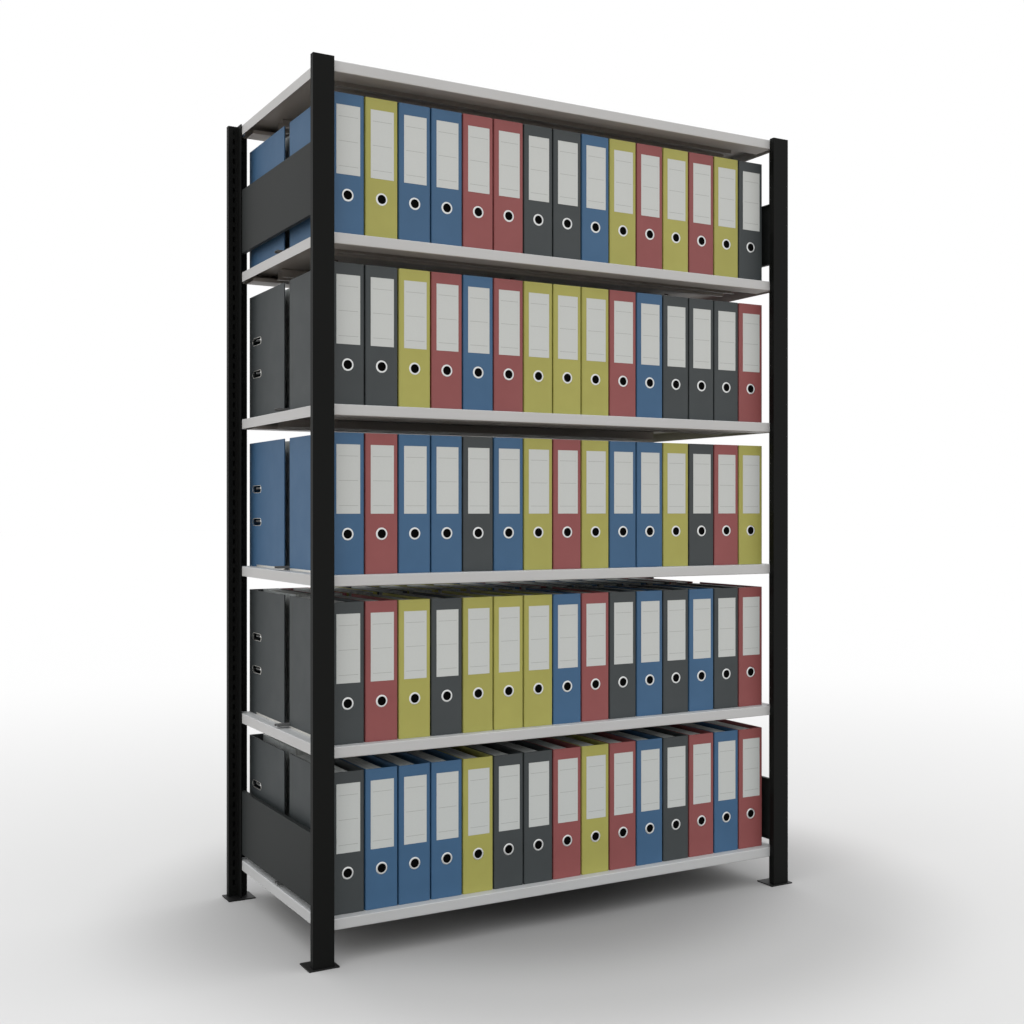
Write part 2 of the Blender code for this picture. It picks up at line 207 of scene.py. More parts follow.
def grain(size_mm: float) -> float:
    """Noise scale whose features are about this many millimetres across."""
    return 1.0 / (size_mm * MILLIMETRE)


@dataclass(frozen=True)
class PowderCoat:
    """Polyester powder sprayed on steel sheet and baked: satin, with the faint ripple of a melted powder."""

    name: str
    colour: str
    roughness: float
    shine: float = 0.5
    ripple_mm: float = 3.0      # the real ripple is about 1 mm, drawn coarser so that it shows
    ripple_depth_mm: float = 0.03
    ripple_strength: float = 0.35
    ripple_gloss: float = 0.06  # how far the ripple moves the roughness
    cloud_mm: float = 180.0     # slow change of film thickness along a sheet
    cloud_tone: float = 0.06    # share by which it moves the colour

    def material(self) -> Material:
        """Make the material.

        Returns:
            The powder coat.
        """
        material, tree, shader, place = start_material(self.name)
        ripple = add_node(tree, "ShaderNodeTexNoise", {
            "Vector": place,
            "Scale": grain(self.ripple_mm),
            "Detail": FEW_LAYERS,
        })
        cloud = add_node(tree, "ShaderNodeTexNoise", {
            "Vector": place,
            "Scale": grain(self.cloud_mm),
            "Detail": SOME_LAYERS,
        })
        darker, lighter = shades(self.colour, self.cloud_tone)
        tone = add_node(tree, "ShaderNodeMix", {
            "Factor": cloud.outputs["Fac"],
            COLOUR_A: darker,
            COLOUR_B: lighter,
        }, data_type="RGBA")
        gloss = add_node(tree, "ShaderNodeMapRange", {
            "Value": ripple.outputs["Fac"],
            "To Min": self.roughness - self.ripple_gloss,
            "To Max": self.roughness + self.ripple_gloss,
        })
        bump = add_node(tree, "ShaderNodeBump", {
            "Height": ripple.outputs["Fac"],
            "Strength": self.ripple_strength,
            "Distance": self.ripple_depth_mm * MILLIMETRE,
        })
        fill(tree, shader, {
            "Base Color": tone.outputs[COLOUR_RESULT],
            "Roughness": gloss.outputs["Result"],
            "Normal": bump.outputs["Normal"],
            "Specular IOR Level": self.shine,
        })
        return material


@dataclass(frozen=True)
class LaminatedBoard:
    """Grey board wrapped in embossed, plastic-coated paper: even colour, fine linen emboss, soft shine."""

    name: str = "plastic-laminated file board"
    roughness: float = 0.62
    shine: float = 0.50
    emboss_mm: float = 1.6      # real emboss about 0.5 mm, drawn coarser so that it shows
    emboss_depth_mm: float = 0.02
    emboss_strength: float = 0.3
    handling_mm: float = 60.0   # size of the patches that hands have rubbed
    handling_tone: float = 0.07     # share by which they move the colour
    handling_gloss: float = 0.07    # how far they move the roughness

    def material(self) -> Material:
        """Make the material.

        Returns:
            The board's finish, in the colour that each file carries.
        """
        material, tree, shader, place = start_material(self.name)
        tint = add_node(tree, "ShaderNodeAttribute", attribute_name=TINT, attribute_type="GEOMETRY")
        patches = add_node(tree, "ShaderNodeTexNoise", {
            "Vector": place,
            "Scale": grain(self.handling_mm),
            "Detail": MANY_LAYERS,
        })
        level = add_node(tree, "ShaderNodeMapRange", {
            "Value": patches.outputs["Fac"],
            "To Min": 1 - self.handling_tone,
            "To Max": 1 + self.handling_tone,
        })
        shade = add_node(tree, "ShaderNodeHueSaturation", {
            "Color": tint.outputs["Color"],
            "Value": level.outputs["Result"],
        })
        emboss = add_node(tree, "ShaderNodeTexVoronoi", {"Vector": place, "Scale": grain(self.emboss_mm)})
        bump = add_node(tree, "ShaderNodeBump", {
            "Height": emboss.outputs["Distance"],
            "Strength": self.emboss_strength,
            "Distance": self.emboss_depth_mm * MILLIMETRE,
        })
        gloss = add_node(tree, "ShaderNodeMapRange", {
            "Value": patches.outputs["Fac"],
            "To Min": self.roughness + self.handling_gloss,
            "To Max": self.roughness - self.handling_gloss,
        })
        fill(tree, shader, {
            "Base Color": shade.outputs["Color"],
            "Roughness": gloss.outputs["Result"],
            "Normal": bump.outputs["Normal"],
            "Specular IOR Level": self.shine,
        })
        return material


@dataclass(frozen=True)
class Card:
    """Uncoated label card or printing on it: matt, with the faint flecks of paper fibre."""

    name: str
    colour: str
    roughness: float = 0.55
    fleck_mm: float = 2.0       # real fibres about 0.3 mm, drawn coarser so that they show
    fleck_tone: float = 0.05    # share by which they move the colour

    def material(self) -> Material:
        """Make the material.

        Returns:
            The card's finish.
        """
        material, tree, shader, place = start_material(self.name)
        flecks = add_node(tree, "ShaderNodeTexNoise", {
            "Vector": place,
            "Scale": grain(self.fleck_mm),
            "Detail": SOME_LAYERS,
        })
        darker, lighter = shades(self.colour, self.fleck_tone)
        tone = add_node(tree, "ShaderNodeMix", {
            "Factor": flecks.outputs["Fac"],
            COLOUR_A: darker,
            COLOUR_B: lighter,
        }, data_type="RGBA")
        fill(tree, shader, {"Base Color": tone.outputs[COLOUR_RESULT], "Roughness": self.roughness})
        return material


@dataclass(frozen=True)
class SheetStack:
    """Cut edges of many office sheets: off-white, with darker lines where bundles part."""

    name: str = "stacked office paper"
    colour: str = "#b5bab9"
    gap_colour: str = "#8a8f8f"
    roughness: float = 0.85
    bundle_mm: float = 2.4      # single sheets are 0.1 mm, drawn as bundles so that they show
    bundle_layers: float = 0.7  # strength of each finer layer of the pattern
    draw_out: float = 0.02      # scale along the sheets, which turns the pattern into lines
    gap_up_to: float = 0.34     # where in the pattern the gaps end
    sheet_from: float = 0.52    # and where the sheets start
    edge_depth_mm: float = 0.3
    edge_strength: float = 0.4

    def material(self) -> Material:
        """Make the material.

        Returns:
            The paper's finish.
        """
        material, tree, shader, place = start_material(self.name)
        across = add_node(tree, "ShaderNodeMapping", {
            "Vector": place,
            "Scale": (1.0, self.draw_out, self.draw_out),
        })
        edges = add_node(tree, "ShaderNodeTexNoise", {
            "Vector": across.outputs["Vector"],
            "Scale": grain(self.bundle_mm),
            "Detail": MANY_LAYERS,
            "Roughness": self.bundle_layers,
        })
        tone = add_node(tree, "ShaderNodeValToRGB", {"Fac": edges.outputs["Fac"]})
        gap, sheet = tone.color_ramp.elements
        gap.position = self.gap_up_to
        gap.color = linear(self.gap_colour)
        sheet.position = self.sheet_from
        sheet.color = linear(self.colour)
        bump = add_node(tree, "ShaderNodeBump", {
            "Height": edges.outputs["Fac"],
            "Strength": self.edge_strength,
            "Distance": self.edge_depth_mm * MILLIMETRE,
        })
        fill(tree, shader, {
            "Base Color": tone.outputs["Color"],
            "Roughness": self.roughness,
            "Normal": bump.outputs["Normal"],
        })
        return material


@dataclass(frozen=True)
class PlatedSteel:
    """Thin bright plating on pressed steel: metal colour, with a slightly uneven shine."""

    name: str
    colour: str
    roughness: float
    mottle_mm: float
    mottle_gloss: float = 0.08  # how far the mottling moves the roughness

    def material(self) -> Material:
        """Make the material.

        Returns:
            The plating.
        """
        material, tree, shader, place = start_material(self.name)
        mottle = add_node(tree, "ShaderNodeTexNoise", {
            "Vector": place,
            "Scale": grain(self.mottle_mm),
            "Detail": SOME_LAYERS,
        })
        gloss = add_node(tree, "ShaderNodeMapRange", {
            "Value": mottle.outputs["Fac"],
            "To Min": self.roughness - self.mottle_gloss,
            "To Max": self.roughness + self.mottle_gloss,
        })
        fill(tree, shader, {
            "Base Color": linear(self.colour),
            "Roughness": gloss.outputs["Result"],
            "Metallic": 1.0,
        })
        return material


@dataclass(frozen=True)
class MouldedPlastic:
    """Black injection-moulded plastic: matt, with the fine spark texture of its mould."""

    name: str = "black moulded plastic"
    colour: str = "#131313"
    roughness: float = 0.55
    shine: float = 0.3
    spark_mm: float = 1.2       # real mould texture about 0.2 mm, drawn coarser so that it shows
    spark_depth_mm: float = 0.03
    spark_strength: float = 0.4

    def material(self) -> Material:
        """Make the material.

        Returns:
            The plastic.
        """
        material, tree, shader, place = start_material(self.name)
        spark = add_node(tree, "ShaderNodeTexNoise", {
            "Vector": place,
            "Scale": grain(self.spark_mm),
            "Detail": FEW_LAYERS,
        })
        bump = add_node(tree, "ShaderNodeBump", {
            "Height": spark.outputs["Fac"],
            "Strength": self.spark_strength,
            "Distance": self.spark_depth_mm * MILLIMETRE,
        })
        fill(tree, shader, {
            "Base Color": linear(self.colour),
            "Roughness": self.roughness,
            "Normal": bump.outputs["Normal"],
            "Specular IOR Level": self.shine,
        })
        return material


class Finishes:
    """Every finish on the unit, made once."""

    def __init__(self) -> None:
        """Make the materials."""
        self.upright = PowderCoat(
            "black powder-coated steel", "#0e0f0e", roughness=0.5, shine=0.10,
        ).material()
        self.panel = PowderCoat(
            "dark grey powder-coated steel", "#292c2c", roughness=0.5, shine=0.08,
        ).material()
        self.shelf = PowderCoat(
            "light grey powder-coated steel", "#b6b8b9", roughness=0.45, shine=0.15,
        ).material()
        self.stop = PowderCoat("mid grey powder-coated steel", "#5c5d5d", roughness=0.5).material()
        self.zinc = PlatedSteel("zinc-plated steel", "#b4b7ba", roughness=0.35, mottle_mm=4.0).material()
        self.nickel = PlatedSteel("nickel-plated steel", "#d8d9d8", roughness=0.30, mottle_mm=3.0).material()
        self.satin = PlatedSteel(
            "satin nickel-plated steel", "#e8e6e0", roughness=0.45, mottle_mm=3.0,
        ).material()
        self.plastic = MouldedPlastic().material()
        # Near-black cup in the finger hole: painted shade where the hole looks into the file
        self.hole_shade = MouldedPlastic("black matt lining", "#040404", roughness=0.8, shine=0.05).material()
        self.cover = LaminatedBoard().material()
        self.label = Card("pale grey label card", "#bbc0bf").material()
        self.rule = Card("grey printed line", "#8b908f").material()
        self.paper = SheetStack().material()


def bend(path: Sequence[Point], radius: float, steps: int = 4) -> list[Point]:
    """Round the corners of an open path.

    Args:
        path: Points of the path.
        radius: Radius of every inner corner.
        steps: Straight runs in each arc.

    Returns:
        The path with an arc at each corner.
    """
    points = [Vector(p) for p in path]
    rounded = [points[0]]
    for before, corner, after in zip(points, points[1:], points[2:]):
        to_before = (before - corner).normalized()
        to_after = (after - corner).normalized()
        half_angle = to_before.angle(to_after) / 2
        start = corner + to_before * (radius / math.tan(half_angle))
        centre = corner + (to_before + to_after).normalized() * (radius / math.sin(half_angle))
        sweep = (HALF_TURN - 2 * half_angle) * (1 if to_before.cross(to_after) < 0 else -1)
        for i in range(steps + 1):
            rounded.append(centre + Matrix.Rotation(sweep * i / steps, 2) @ (start - centre))
    rounded.append(points[-1])
    return [(p.x, p.y) for p in rounded]


def sheet_outline(path: Sequence[Point], thickness: float, radius: float, steps: int = 4) -> list[Point]:
    """Closed outline of a bent sheet.

    Args:
        path: Middle line of the sheet, with sharp corners.
        thickness: Thickness of the sheet.
        radius: Bend radius at the middle line.
        steps: Straight runs in each bend.

    Returns:
        The outline's points.
    """
    line = [Vector(p) for p in bend(path, radius, steps)]
    sides: tuple[list[Point], list[Point]] = ([], [])
    for i, point in enumerate(line):
        along = [(b - a).normalized() for a, b in zip(line[max(0, i - 1):], line[max(0, i - 1) + 1:i + 2])]
        mean = sum(along, Vector((0.0, 0.0))).normalized()
        reach = thickness / 2 / max(LEAST_MITRE, mean.dot(along[0]))
        normal = Vector((-mean.y, mean.x)) * reach
        sides[0].append(tuple(point + normal))
        sides[1].append(tuple(point - normal))
    return sides[0] + sides[1][::-1]


def add_skin(bm: BMesh, rings: Sequence[Sequence[BMVert]], capped: bool, closed: bool = False) -> None:
    """Join rings of points with faces that look outwards.

    Args:
        bm: Mesh that gets the faces.
        rings: Rings of the same number of points. A point may be there more than once.
        capped: True if the first and the last ring are filled.
        closed: True if the last ring joins the first.
    """
    faces = [bm.faces.new(ring) for ring in (rings[0], rings[-1])] if capped else []
    pairs = list(zip(rings, rings[1:])) + ([(rings[-1], rings[0])] if closed else [])
    for near, far in pairs:
        for i in range(len(near)):
            j = (i + 1) % len(near)
            corners = dict.fromkeys((near[i], near[j], far[j], far[i]))
            faces.append(bm.faces.new(list(corners)))
    bmesh.ops.recalc_face_normals(bm, faces=faces)


def add_prism(bm: BMesh, outline: Sequence[Point], low: float, high: float, axis: str) -> None:
    """Add a closed outline drawn in two axes, pushed along the third.

    Args:
        bm: Mesh that gets the prism.
        outline: Points in the two other axes, in the order X, Y, Z.
        low: Start along the axis.
        high: End along the axis.
        axis: X, Y or Z.
    """
    place: Callable[[float, float, float], Corner] = {
        "X": lambda a, b, c: (c, a, b),
        "Y": lambda a, b, c: (a, c, b),
        "Z": lambda a, b, c: (a, b, c),
    }[axis]
    rings = [[bm.verts.new(place(a, b, c)) for a, b in outline] for c in (low, high)]
    add_skin(bm, rings, capped=True)


def add_box(bm: BMesh, corner: Corner, opposite: Corner) -> None:
    """Add a box between two opposite corners."""
    (x0, x1), (y0, y1), (z0, z1) = [sorted(pair) for pair in zip(corner, opposite)]
    add_prism(bm, [(x0, y0), (x1, y0), (x1, y1), (x0, y1)], z0, z1, "Z")


def add_turned(bm: BMesh, profile: Sequence[Point], centre: Corner, sides: int, closed: bool) -> None:
    """Add a profile turned round an axis along Y.

    Args:
        bm: Mesh that gets the shape.
        profile: Radius and place along Y of each point. A radius of 0 makes a pole.
        centre: Where the axis crosses the profile's zero.
        sides: Runs round the axis.
        closed: True if the profile's last point joins its first.
    """
    rings = []
    for radius, along in profile:
        if radius == 0.0:
            rings.append([bm.verts.new((centre[0], centre[1] + along, centre[2]))] * sides)
            continue
        ring = []
        for i in range(sides):
            angle = FULL_TURN * i / sides
            x = centre[0] + radius * math.cos(angle)
            z = centre[2] + radius * math.sin(angle)
            ring.append(bm.verts.new((x, centre[1] + along, z)))
        rings.append(ring)
    add_skin(bm, rings, capped=False, closed=closed)


def add_rod(bm: BMesh, path: Sequence[Corner], radius: float, sides: int) -> None:
    """Add a round rod along a path.

    Args:
        bm: Mesh that gets the rod.
        path: Points of its middle line.
        radius: Radius of the rod.
        sides: Faces round it.
    """
    points = [Vector(p) for p in path]
    rings = []
    across = Vector((0.0, 0.0, 1.0))
    for i, point in enumerate(points):
        along = (points[min(i + 1, len(points) - 1)] - points[max(i - 1, 0)]).normalized()
        side = along.cross(across).normalized()
        up = side.cross(along)
        ring = []
        for k in range(sides):
            angle = FULL_TURN * k / sides
            ring.append(bm.verts.new(point + (side * math.cos(angle) + up * math.sin(angle)) * radius))
        rings.append(ring)
    add_skin(bm, rings, capped=True)


def stadium(length: float, width: float, steps: int = 4) -> list[Point]:
    """Outline of a slot with round ends, centred, its length along the first axis.

    Args:
        length: Overall length.
        width: Width between the straight sides.
        steps: Straight runs in each end.

    Returns:
        The outline's points.
    """
    radius = width / 2
    reach = length / 2 - radius
    points = []
    for end, turn in ((1, -QUARTER_TURN), (-1, QUARTER_TURN)):
        for i in range(steps + 1):
            angle = turn + HALF_TURN * i / steps
            points.append((end * reach + radius * math.cos(angle), radius * math.sin(angle)))
    return points


def to_mesh(bm: BMesh, name: str) -> Mesh:
    """Turn a bmesh into a mesh and free it.

    Args:
        bm: The bmesh.
        name: Name of the mesh.

    Returns:
        The mesh.
    """
    mesh = bpy.data.meshes.new(name)
    bm.to_mesh(mesh)
    bm.free()
    return mesh


def add_object(name: str, mesh: Mesh) -> Object:
    """Link a new object that sits at the origin.

    Args:
        name: Name of the object.
        mesh: Its mesh.

    Returns:
        The object.
    """
    piece = bpy.data.objects.new(name, mesh)
    bpy.context.scene.collection.objects.link(piece)
    return piece


def paint(mesh: Mesh, finish: Material) -> Mesh:
    """Give a whole mesh one finish.

    Args:
        mesh: The mesh.
        finish: The finish.

    Returns:
        The same mesh.
    """
    mesh.materials.clear()
    mesh.materials.append(finish)
    return mesh


def evaluated_mesh(piece: Object) -> Mesh:
    """Plain mesh of an object with its modifiers applied."""
    depsgraph = bpy.context.evaluated_depsgraph_get()
    return bpy.data.meshes.new_from_object(piece.evaluated_get(depsgraph), depsgraph=depsgraph)


def carve(mesh: Mesh, cutters: Sequence[Mesh]) -> Mesh:
    """Cut closed shapes out of a closed mesh.

    Args:
        mesh: Mesh to cut.
        cutters: Meshes that are taken away, one after another.

    Returns:
        The cut mesh.
    """
    body = add_object("carved", mesh)
    tools = [add_object("cutter", cutter) for cutter in cutters]
    for tool in tools:
        step = body.modifiers.new("cut", "BOOLEAN")
        step.operation = "DIFFERENCE"
        step.solver = "EXACT"
        step.object = tool
    result = evaluated_mesh(body)
    for item in [body] + tools:
        bpy.data.objects.remove(item, do_unlink=True)
    return result


def settle(mesh: Mesh, edge_radius: float = 0.0) -> Mesh:
    """Round a mesh's sharp edges and shade it so that flat faces stay flat.

    Args:
        mesh: Mesh to finish.
        edge_radius: Radius of the rounded edges, or 0 to leave them.

    Returns:
        The finished mesh.
    """
    body = add_object("settled", mesh)
    if edge_radius:
        rounding = body.modifiers.new("edges", "BEVEL")
        rounding.width = edge_radius
        rounding.segments = EDGE_STEPS
        rounding.limit_method = "ANGLE"
        rounding.angle_limit = SHARP_ANGLE
        rounding.use_clamp_overlap = True
    rounded = evaluated_mesh(body)
    rounded.shade_smooth()
    rounded.set_sharp_from_angle(angle=SHARP_ANGLE)
    body.modifiers.clear()
    body.data = rounded
    normals = body.modifiers.new("normals", "WEIGHTED_NORMAL")
    normals.keep_sharp = True
    result = evaluated_mesh(body)
    result.name = mesh.name
    bpy.data.objects.remove(body, do_unlink=True)
    return result


def packed_copy(node: str) -> Mesh:
    """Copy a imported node's mesh as whole faces.

    Args:
        node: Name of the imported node.

    Returns:
        A closed mesh with its flat faces joined.
    """
    bm = bmesh.new()
    bm.from_mesh(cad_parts[node].data)
    bmesh.ops.remove_doubles(bm, verts=bm.verts, dist=MERGE_DISTANCE)
    bmesh.ops.dissolve_limit(bm, angle_limit=FLAT_ANGLE, verts=bm.verts, edges=bm.edges)
    return to_mesh(bm, node)


def new_tree(name: str, sockets: Sequence[tuple[str, str]]) -> tuple[NodeTree, Node]:
    """Start a geometry tree with named inputs.

    Args:
        name: Name of the tree.
        sockets: Name and socket type of each input after the geometry.

    Returns:
        The tree and its input node.
    """
    tree = bpy.data.node_groups.new(name, "GeometryNodeTree")
    tree.interface.new_socket("Geometry", in_out="INPUT", socket_type="NodeSocketGeometry")
    tree.interface.new_socket("Geometry", in_out="OUTPUT", socket_type="NodeSocketGeometry")
    for label, kind in sockets:
        tree.interface.new_socket(label, in_out="INPUT", socket_type=kind)
    return tree, add_node(tree, "NodeGroupInput")


def stacking_tree() -> NodeTree:
    """Tree that stacks one unit along a line and welds the copies.

    Returns:
        The tree, with the inputs Unit, Count, Start and Step.
    """
    tree, given = new_tree("stack along a line", [
        ("Unit", "NodeSocketObject"),
        ("Count", "NodeSocketInt"),
        ("Start", "NodeSocketVector"),
        ("Step", "NodeSocketVector"),
    ])
    line = add_node(tree, "GeometryNodeMeshLine", {
        "Count": given.outputs["Count"],
        "Start Location": given.outputs["Start"],
        "Offset": given.outputs["Step"],
    })
    unit = add_node(tree, "GeometryNodeObjectInfo", {"Object": given.outputs["Unit"], "As Instance": True})
    copies = add_node(tree, "GeometryNodeInstanceOnPoints", {
        "Points": line.outputs["Mesh"],
        "Instance": unit.outputs["Geometry"],
    })
    plain = add_node(tree, "GeometryNodeRealizeInstances", {"Geometry": copies.outputs["Instances"]})
    welded = add_node(tree, "GeometryNodeMergeByDistance", {
        "Geometry": plain.outputs["Geometry"],
        "Distance": MERGE_DISTANCE,
    })
    add_node(tree, "NodeGroupOutput", {"Geometry": welded.outputs["Geometry"]})
    return tree


def standing_tree(parts: Sequence[str]) -> NodeTree:
    """Tree that stands a set of parts on each given point, each part in its own finish.

    Args:
        parts: Names of the parts.

    Returns:
        The tree, with the input Turn and, for each part, an object and a finish.
    """
    sockets = [("Turn", "NodeSocketFloat")]
    for part in parts:
        sockets += [(part, "NodeSocketObject"), (f"{part} finish", "NodeSocketMaterial")]
    tree, given = new_tree("stand on points", sockets)
    turn = add_node(tree, "ShaderNodeCombineXYZ", {"Z": given.outputs["Turn"]})
    facing = add_node(tree, "FunctionNodeEulerToRotation", {"Euler": turn.outputs["Vector"]})
    whole = add_node(tree, "GeometryNodeJoinGeometry")
    for part in reversed(parts):
        unit = add_node(tree, "GeometryNodeObjectInfo", {"Object": given.outputs[part], "As Instance": True})
        copies = add_node(tree, "GeometryNodeInstanceOnPoints", {
            "Points": given.outputs["Geometry"],
            "Instance": unit.outputs["Geometry"],
            "Rotation": facing.outputs["Rotation"],
        })
        plain = add_node(tree, "GeometryNodeRealizeInstances", {"Geometry": copies.outputs["Instances"]})
        dressed = add_node(tree, "GeometryNodeSetMaterial", {
            "Geometry": plain.outputs["Geometry"],
            "Material": given.outputs[f"{part} finish"],
        })
        tree.links.new(dressed.outputs["Geometry"], whole.inputs["Geometry"])
    add_node(tree, "NodeGroupOutput", {"Geometry": whole.outputs["Geometry"]})
    return tree


def run_tree(carrier: Mesh, tree: NodeTree, values: dict[str, Any]) -> Mesh:
    """Run a geometry tree on a mesh.

    Args:
        carrier: Mesh that the tree starts from.
        tree: The tree.
        values: Input name with its value.

    Returns:
        The result as a plain mesh.
    """
    body = add_object("carrier", carrier)
    modifier = body.modifiers.new("tree", "NODES")
    modifier.node_group = tree
    for item in tree.interface.items_tree:
        if item.in_out == "INPUT" and item.name in values:
            modifier[item.identifier] = values[item.name]
    result = evaluated_mesh(body)
    body.modifiers.remove(modifier)
    bpy.data.objects.remove(body, do_unlink=True)
    return result


def points_mesh(points: Sequence[Corner]) -> Mesh:
    """Make a mesh of loose points.

    Args:
        points: The points.

    Returns:
        The mesh.
    """
    mesh = bpy.data.meshes.new("points")
    mesh.from_pydata(points, [], [])
    return mesh


def hand_over(piece: Object, body: str, nodes: Sequence[str]) -> None:
    """Tie a finished piece to its body and the nodes that it stands for.

    Args:
        piece: The finished piece.
        body: Body that it moves with.
        nodes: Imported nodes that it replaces.
    """
    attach(piece, body)
    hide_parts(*nodes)
    log.info("%s: %d faces, on %s", piece.name, len(piece.data.polygons), body)


@dataclass
class Upright:
    """A roll-formed post: a closed flange box, a double web into the bay and slots beside the web."""

    face: RowFace
    hand: str
    sheet: float = 0.0015
    web: float = 0.003
    web_reach: float = 0.030
    corner: float = 0.0010
    hollow_corner: float = 0.0004
    web_root: float = 0.0012
    web_edge: float = 0.0006
    slot_width: float = 0.005
    slot_height: float = 0.014
    slot_corner: float = 0.0012
    slot_from_web: float = 0.0106
    slot_below_shelf: float = 0.005
    clear_of_foot: float = 0.025

    @property
    def node(self) -> str:
        """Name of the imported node."""
        return f"{self.face.value}_{self.hand}_upright"

    def read_frame(self) -> None:
        """Take the post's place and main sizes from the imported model."""
        low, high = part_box(self.node)
        self.half_width = (high.x - low.x) / 2
        self.depth = high.y - low.y - self.web_reach
        self.bottom, self.top = low.z, high.z
        self.middle = (low.x + high.x) / 2
        self.outer = low.y if self.face is RowFace.FRONT else high.y
        first_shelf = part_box("shelf_1")[1].z
        self.pitch = (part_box("shelf_2")[1].z - first_shelf) / SLOTS_PER_LEVEL
        level_slot = first_shelf - self.slot_below_shelf - self.slot_height
        below = math.floor((level_slot - self.bottom - self.clear_of_foot) / self.pitch)
        self.first_cell = level_slot - below * self.pitch - (self.pitch - self.slot_height) / 2
        self.cells = below + LEVEL_COUNT * SLOTS_PER_LEVEL + 1

    def half_outline(self) -> list[Point]:
        """Draw the right half of the section's outer line.

        Returns:
            Points from the outer face's middle to the web's end.
        """
        half_web = self.web / 2
        end = self.depth + self.web_reach
        path = [(0.0, 0.0), (self.half_width, 0.0), (self.half_width, self.depth), (half_web, self.depth)]
        box = bend(path, self.corner)
        root = bend([box[-2], (half_web, self.depth), (half_web, end)], self.web_root, steps=3)
        return box[1:-1] + root[1:-1] + [(half_web, end - self.web_edge), (half_web - self.web_edge, end)]

    def half_hollow(self) -> list[Point]:
        """Draw the right half of the hollow's line.

        Returns:
            Points from the outer wall's middle to the inner wall's middle.
        """
        side = self.half_width - self.sheet
        inner = self.depth - self.sheet
        path = [(0.0, self.sheet), (side, self.sheet), (side, inner), (0.0, inner)]
        return bend(path, self.hollow_corner, steps=2)

    def slot_corners(self) -> list[list[Point]]:
        """Draw a slot's four rounded corners.

        Returns:
            Three points to a corner, about the slot's middle.
        """
        r = self.slot_corner
        slant = r * math.sqrt(0.5)
        corners = []
        for side, end in ((-1, -1), (1, -1), (1, 1), (-1, 1)):
            x = side * (self.slot_width / 2 - r)
            z = end * (self.slot_height / 2 - r)
            arc = [(x + side * r, z), (x + side * slant, z + end * slant), (x, z + end * r)]
            corners.append(arc if side == end else arc[::-1])
        return corners

    def cell_mesh(self) -> Mesh:
        """Make one pitch of the post, open above and below, with a slot on each side of the web.

        Returns:
            The cell.
        """
        bm = bmesh.new()
        walls = ((self.half_outline(), self.depth), (self.half_hollow(), self.depth - self.sheet))
        for side in (-1, 1):
            for line, wall_y in walls:
                for (x0, y0), (x1, y1) in zip(line, line[1:]):
                    if max(abs(y0 - wall_y), abs(y1 - wall_y)) < MERGE_DISTANCE:
                        self.add_slotted_wall(bm, side * x0, side * x1, wall_y, side)
                    else:
                        self.add_strip(bm, (side * x0, y0), (side * x1, y1), 0.0, self.pitch)
            self.add_slot_sides(bm, side)
        self.add_middle_strips(bm, 0.0, self.pitch)
        bmesh.ops.remove_doubles(bm, verts=bm.verts, dist=MERGE_DISTANCE)
        return to_mesh(bm, "upright cell")

    def add_strip(self, bm: BMesh, start: Point, end: Point, low: float, high: float) -> None:
        """Add one upright face between two points of the section."""
        corners = [(*start, low), (*end, low), (*end, high), (*start, high)]
        bm.faces.new([bm.verts.new(c) for c in corners])

    def add_middle_strips(self, bm: BMesh, low: float, high: float) -> None:
        """Add the faces that cross the section's middle: the outer face and the web's end."""
        for x, y in (self.half_outline()[0], self.half_outline()[-1]):
            self.add_strip(bm, (-x, y), (x, y), low, high)

    def slot_point(self, side: int, spot: Point) -> Point:
        """Place along X and height in the cell of a point of the slot."""
        return side * self.slot_from_web + spot[0], self.pitch / 2 + spot[1]

    def add_slotted_wall(self, bm: BMesh, near: float, far: float, y: float, side: int) -> None:
        """Add the part of a wall that holds a slot, as four faces round it.

        Args:
            bm: Mesh that gets the faces.
            near: Start of the part along X.
            far: End of the part along X.
            y: Place of the wall.
            side: Side of the web, -1 or 1.
        """
        left, right = sorted((near, far))
        wall = [(left, 0.0), (right, 0.0), (right, self.pitch), (left, self.pitch)]
        slot = [[self.slot_point(side, p) for p in corner] for corner in self.slot_corners()]
        for i in range(len(wall)):
            j = (i + 1) % len(wall)
            ring = [wall[i], wall[j], slot[j][1], slot[j][0], slot[i][2], slot[i][1]]
            bm.faces.new([bm.verts.new((x, y, z)) for x, z in ring])

    def add_slot_sides(self, bm: BMesh, side: int) -> None:
        """Add the cut edge of a slot, through the sheet.

        Args:
            bm: Mesh that gets the faces.
            side: Side of the web, -1 or 1.
        """
        inner = self.depth - self.sheet
        ring = [self.slot_point(side, p) for corner in self.slot_corners() for p in corner]
        for (x0, z0), (x1, z1) in zip(ring, ring[1:] + ring[:1]):
            corners = [(x0, self.depth, z0), (x1, self.depth, z1), (x1, inner, z1), (x0, inner, z0)]
            bm.faces.new([bm.verts.new(c) for c in corners])

    def add_plain_length(self, bm: BMesh, low: float, high: float, capped: float) -> None:
        """Add a length of the post with no slots, its rim filled at one end.

        Args:
            bm: Mesh that gets the length.
            low: Lower end.
            high: Upper end.
            capped: Height of the end that is filled between the hollow and the outer line.
        """
        for side in (-1, 1):
            for line in (self.half_outline(), self.half_hollow()):
                for (x0, y0), (x1, y1) in zip(line, line[1:]):
                    self.add_strip(bm, (side * x0, y0), (side * x1, y1), low, high)
        self.add_middle_strips(bm, low, high)
        bmesh.ops.remove_doubles(bm, verts=bm.verts, dist=MERGE_DISTANCE)
        rim = [
            e for e in bm.edges
            if e.is_boundary and all(abs(v.co.z - capped) < MERGE_DISTANCE for v in e.verts)
        ]
        bmesh.ops.triangle_fill(bm, edges=rim, use_beauty=True, use_dissolve=False)

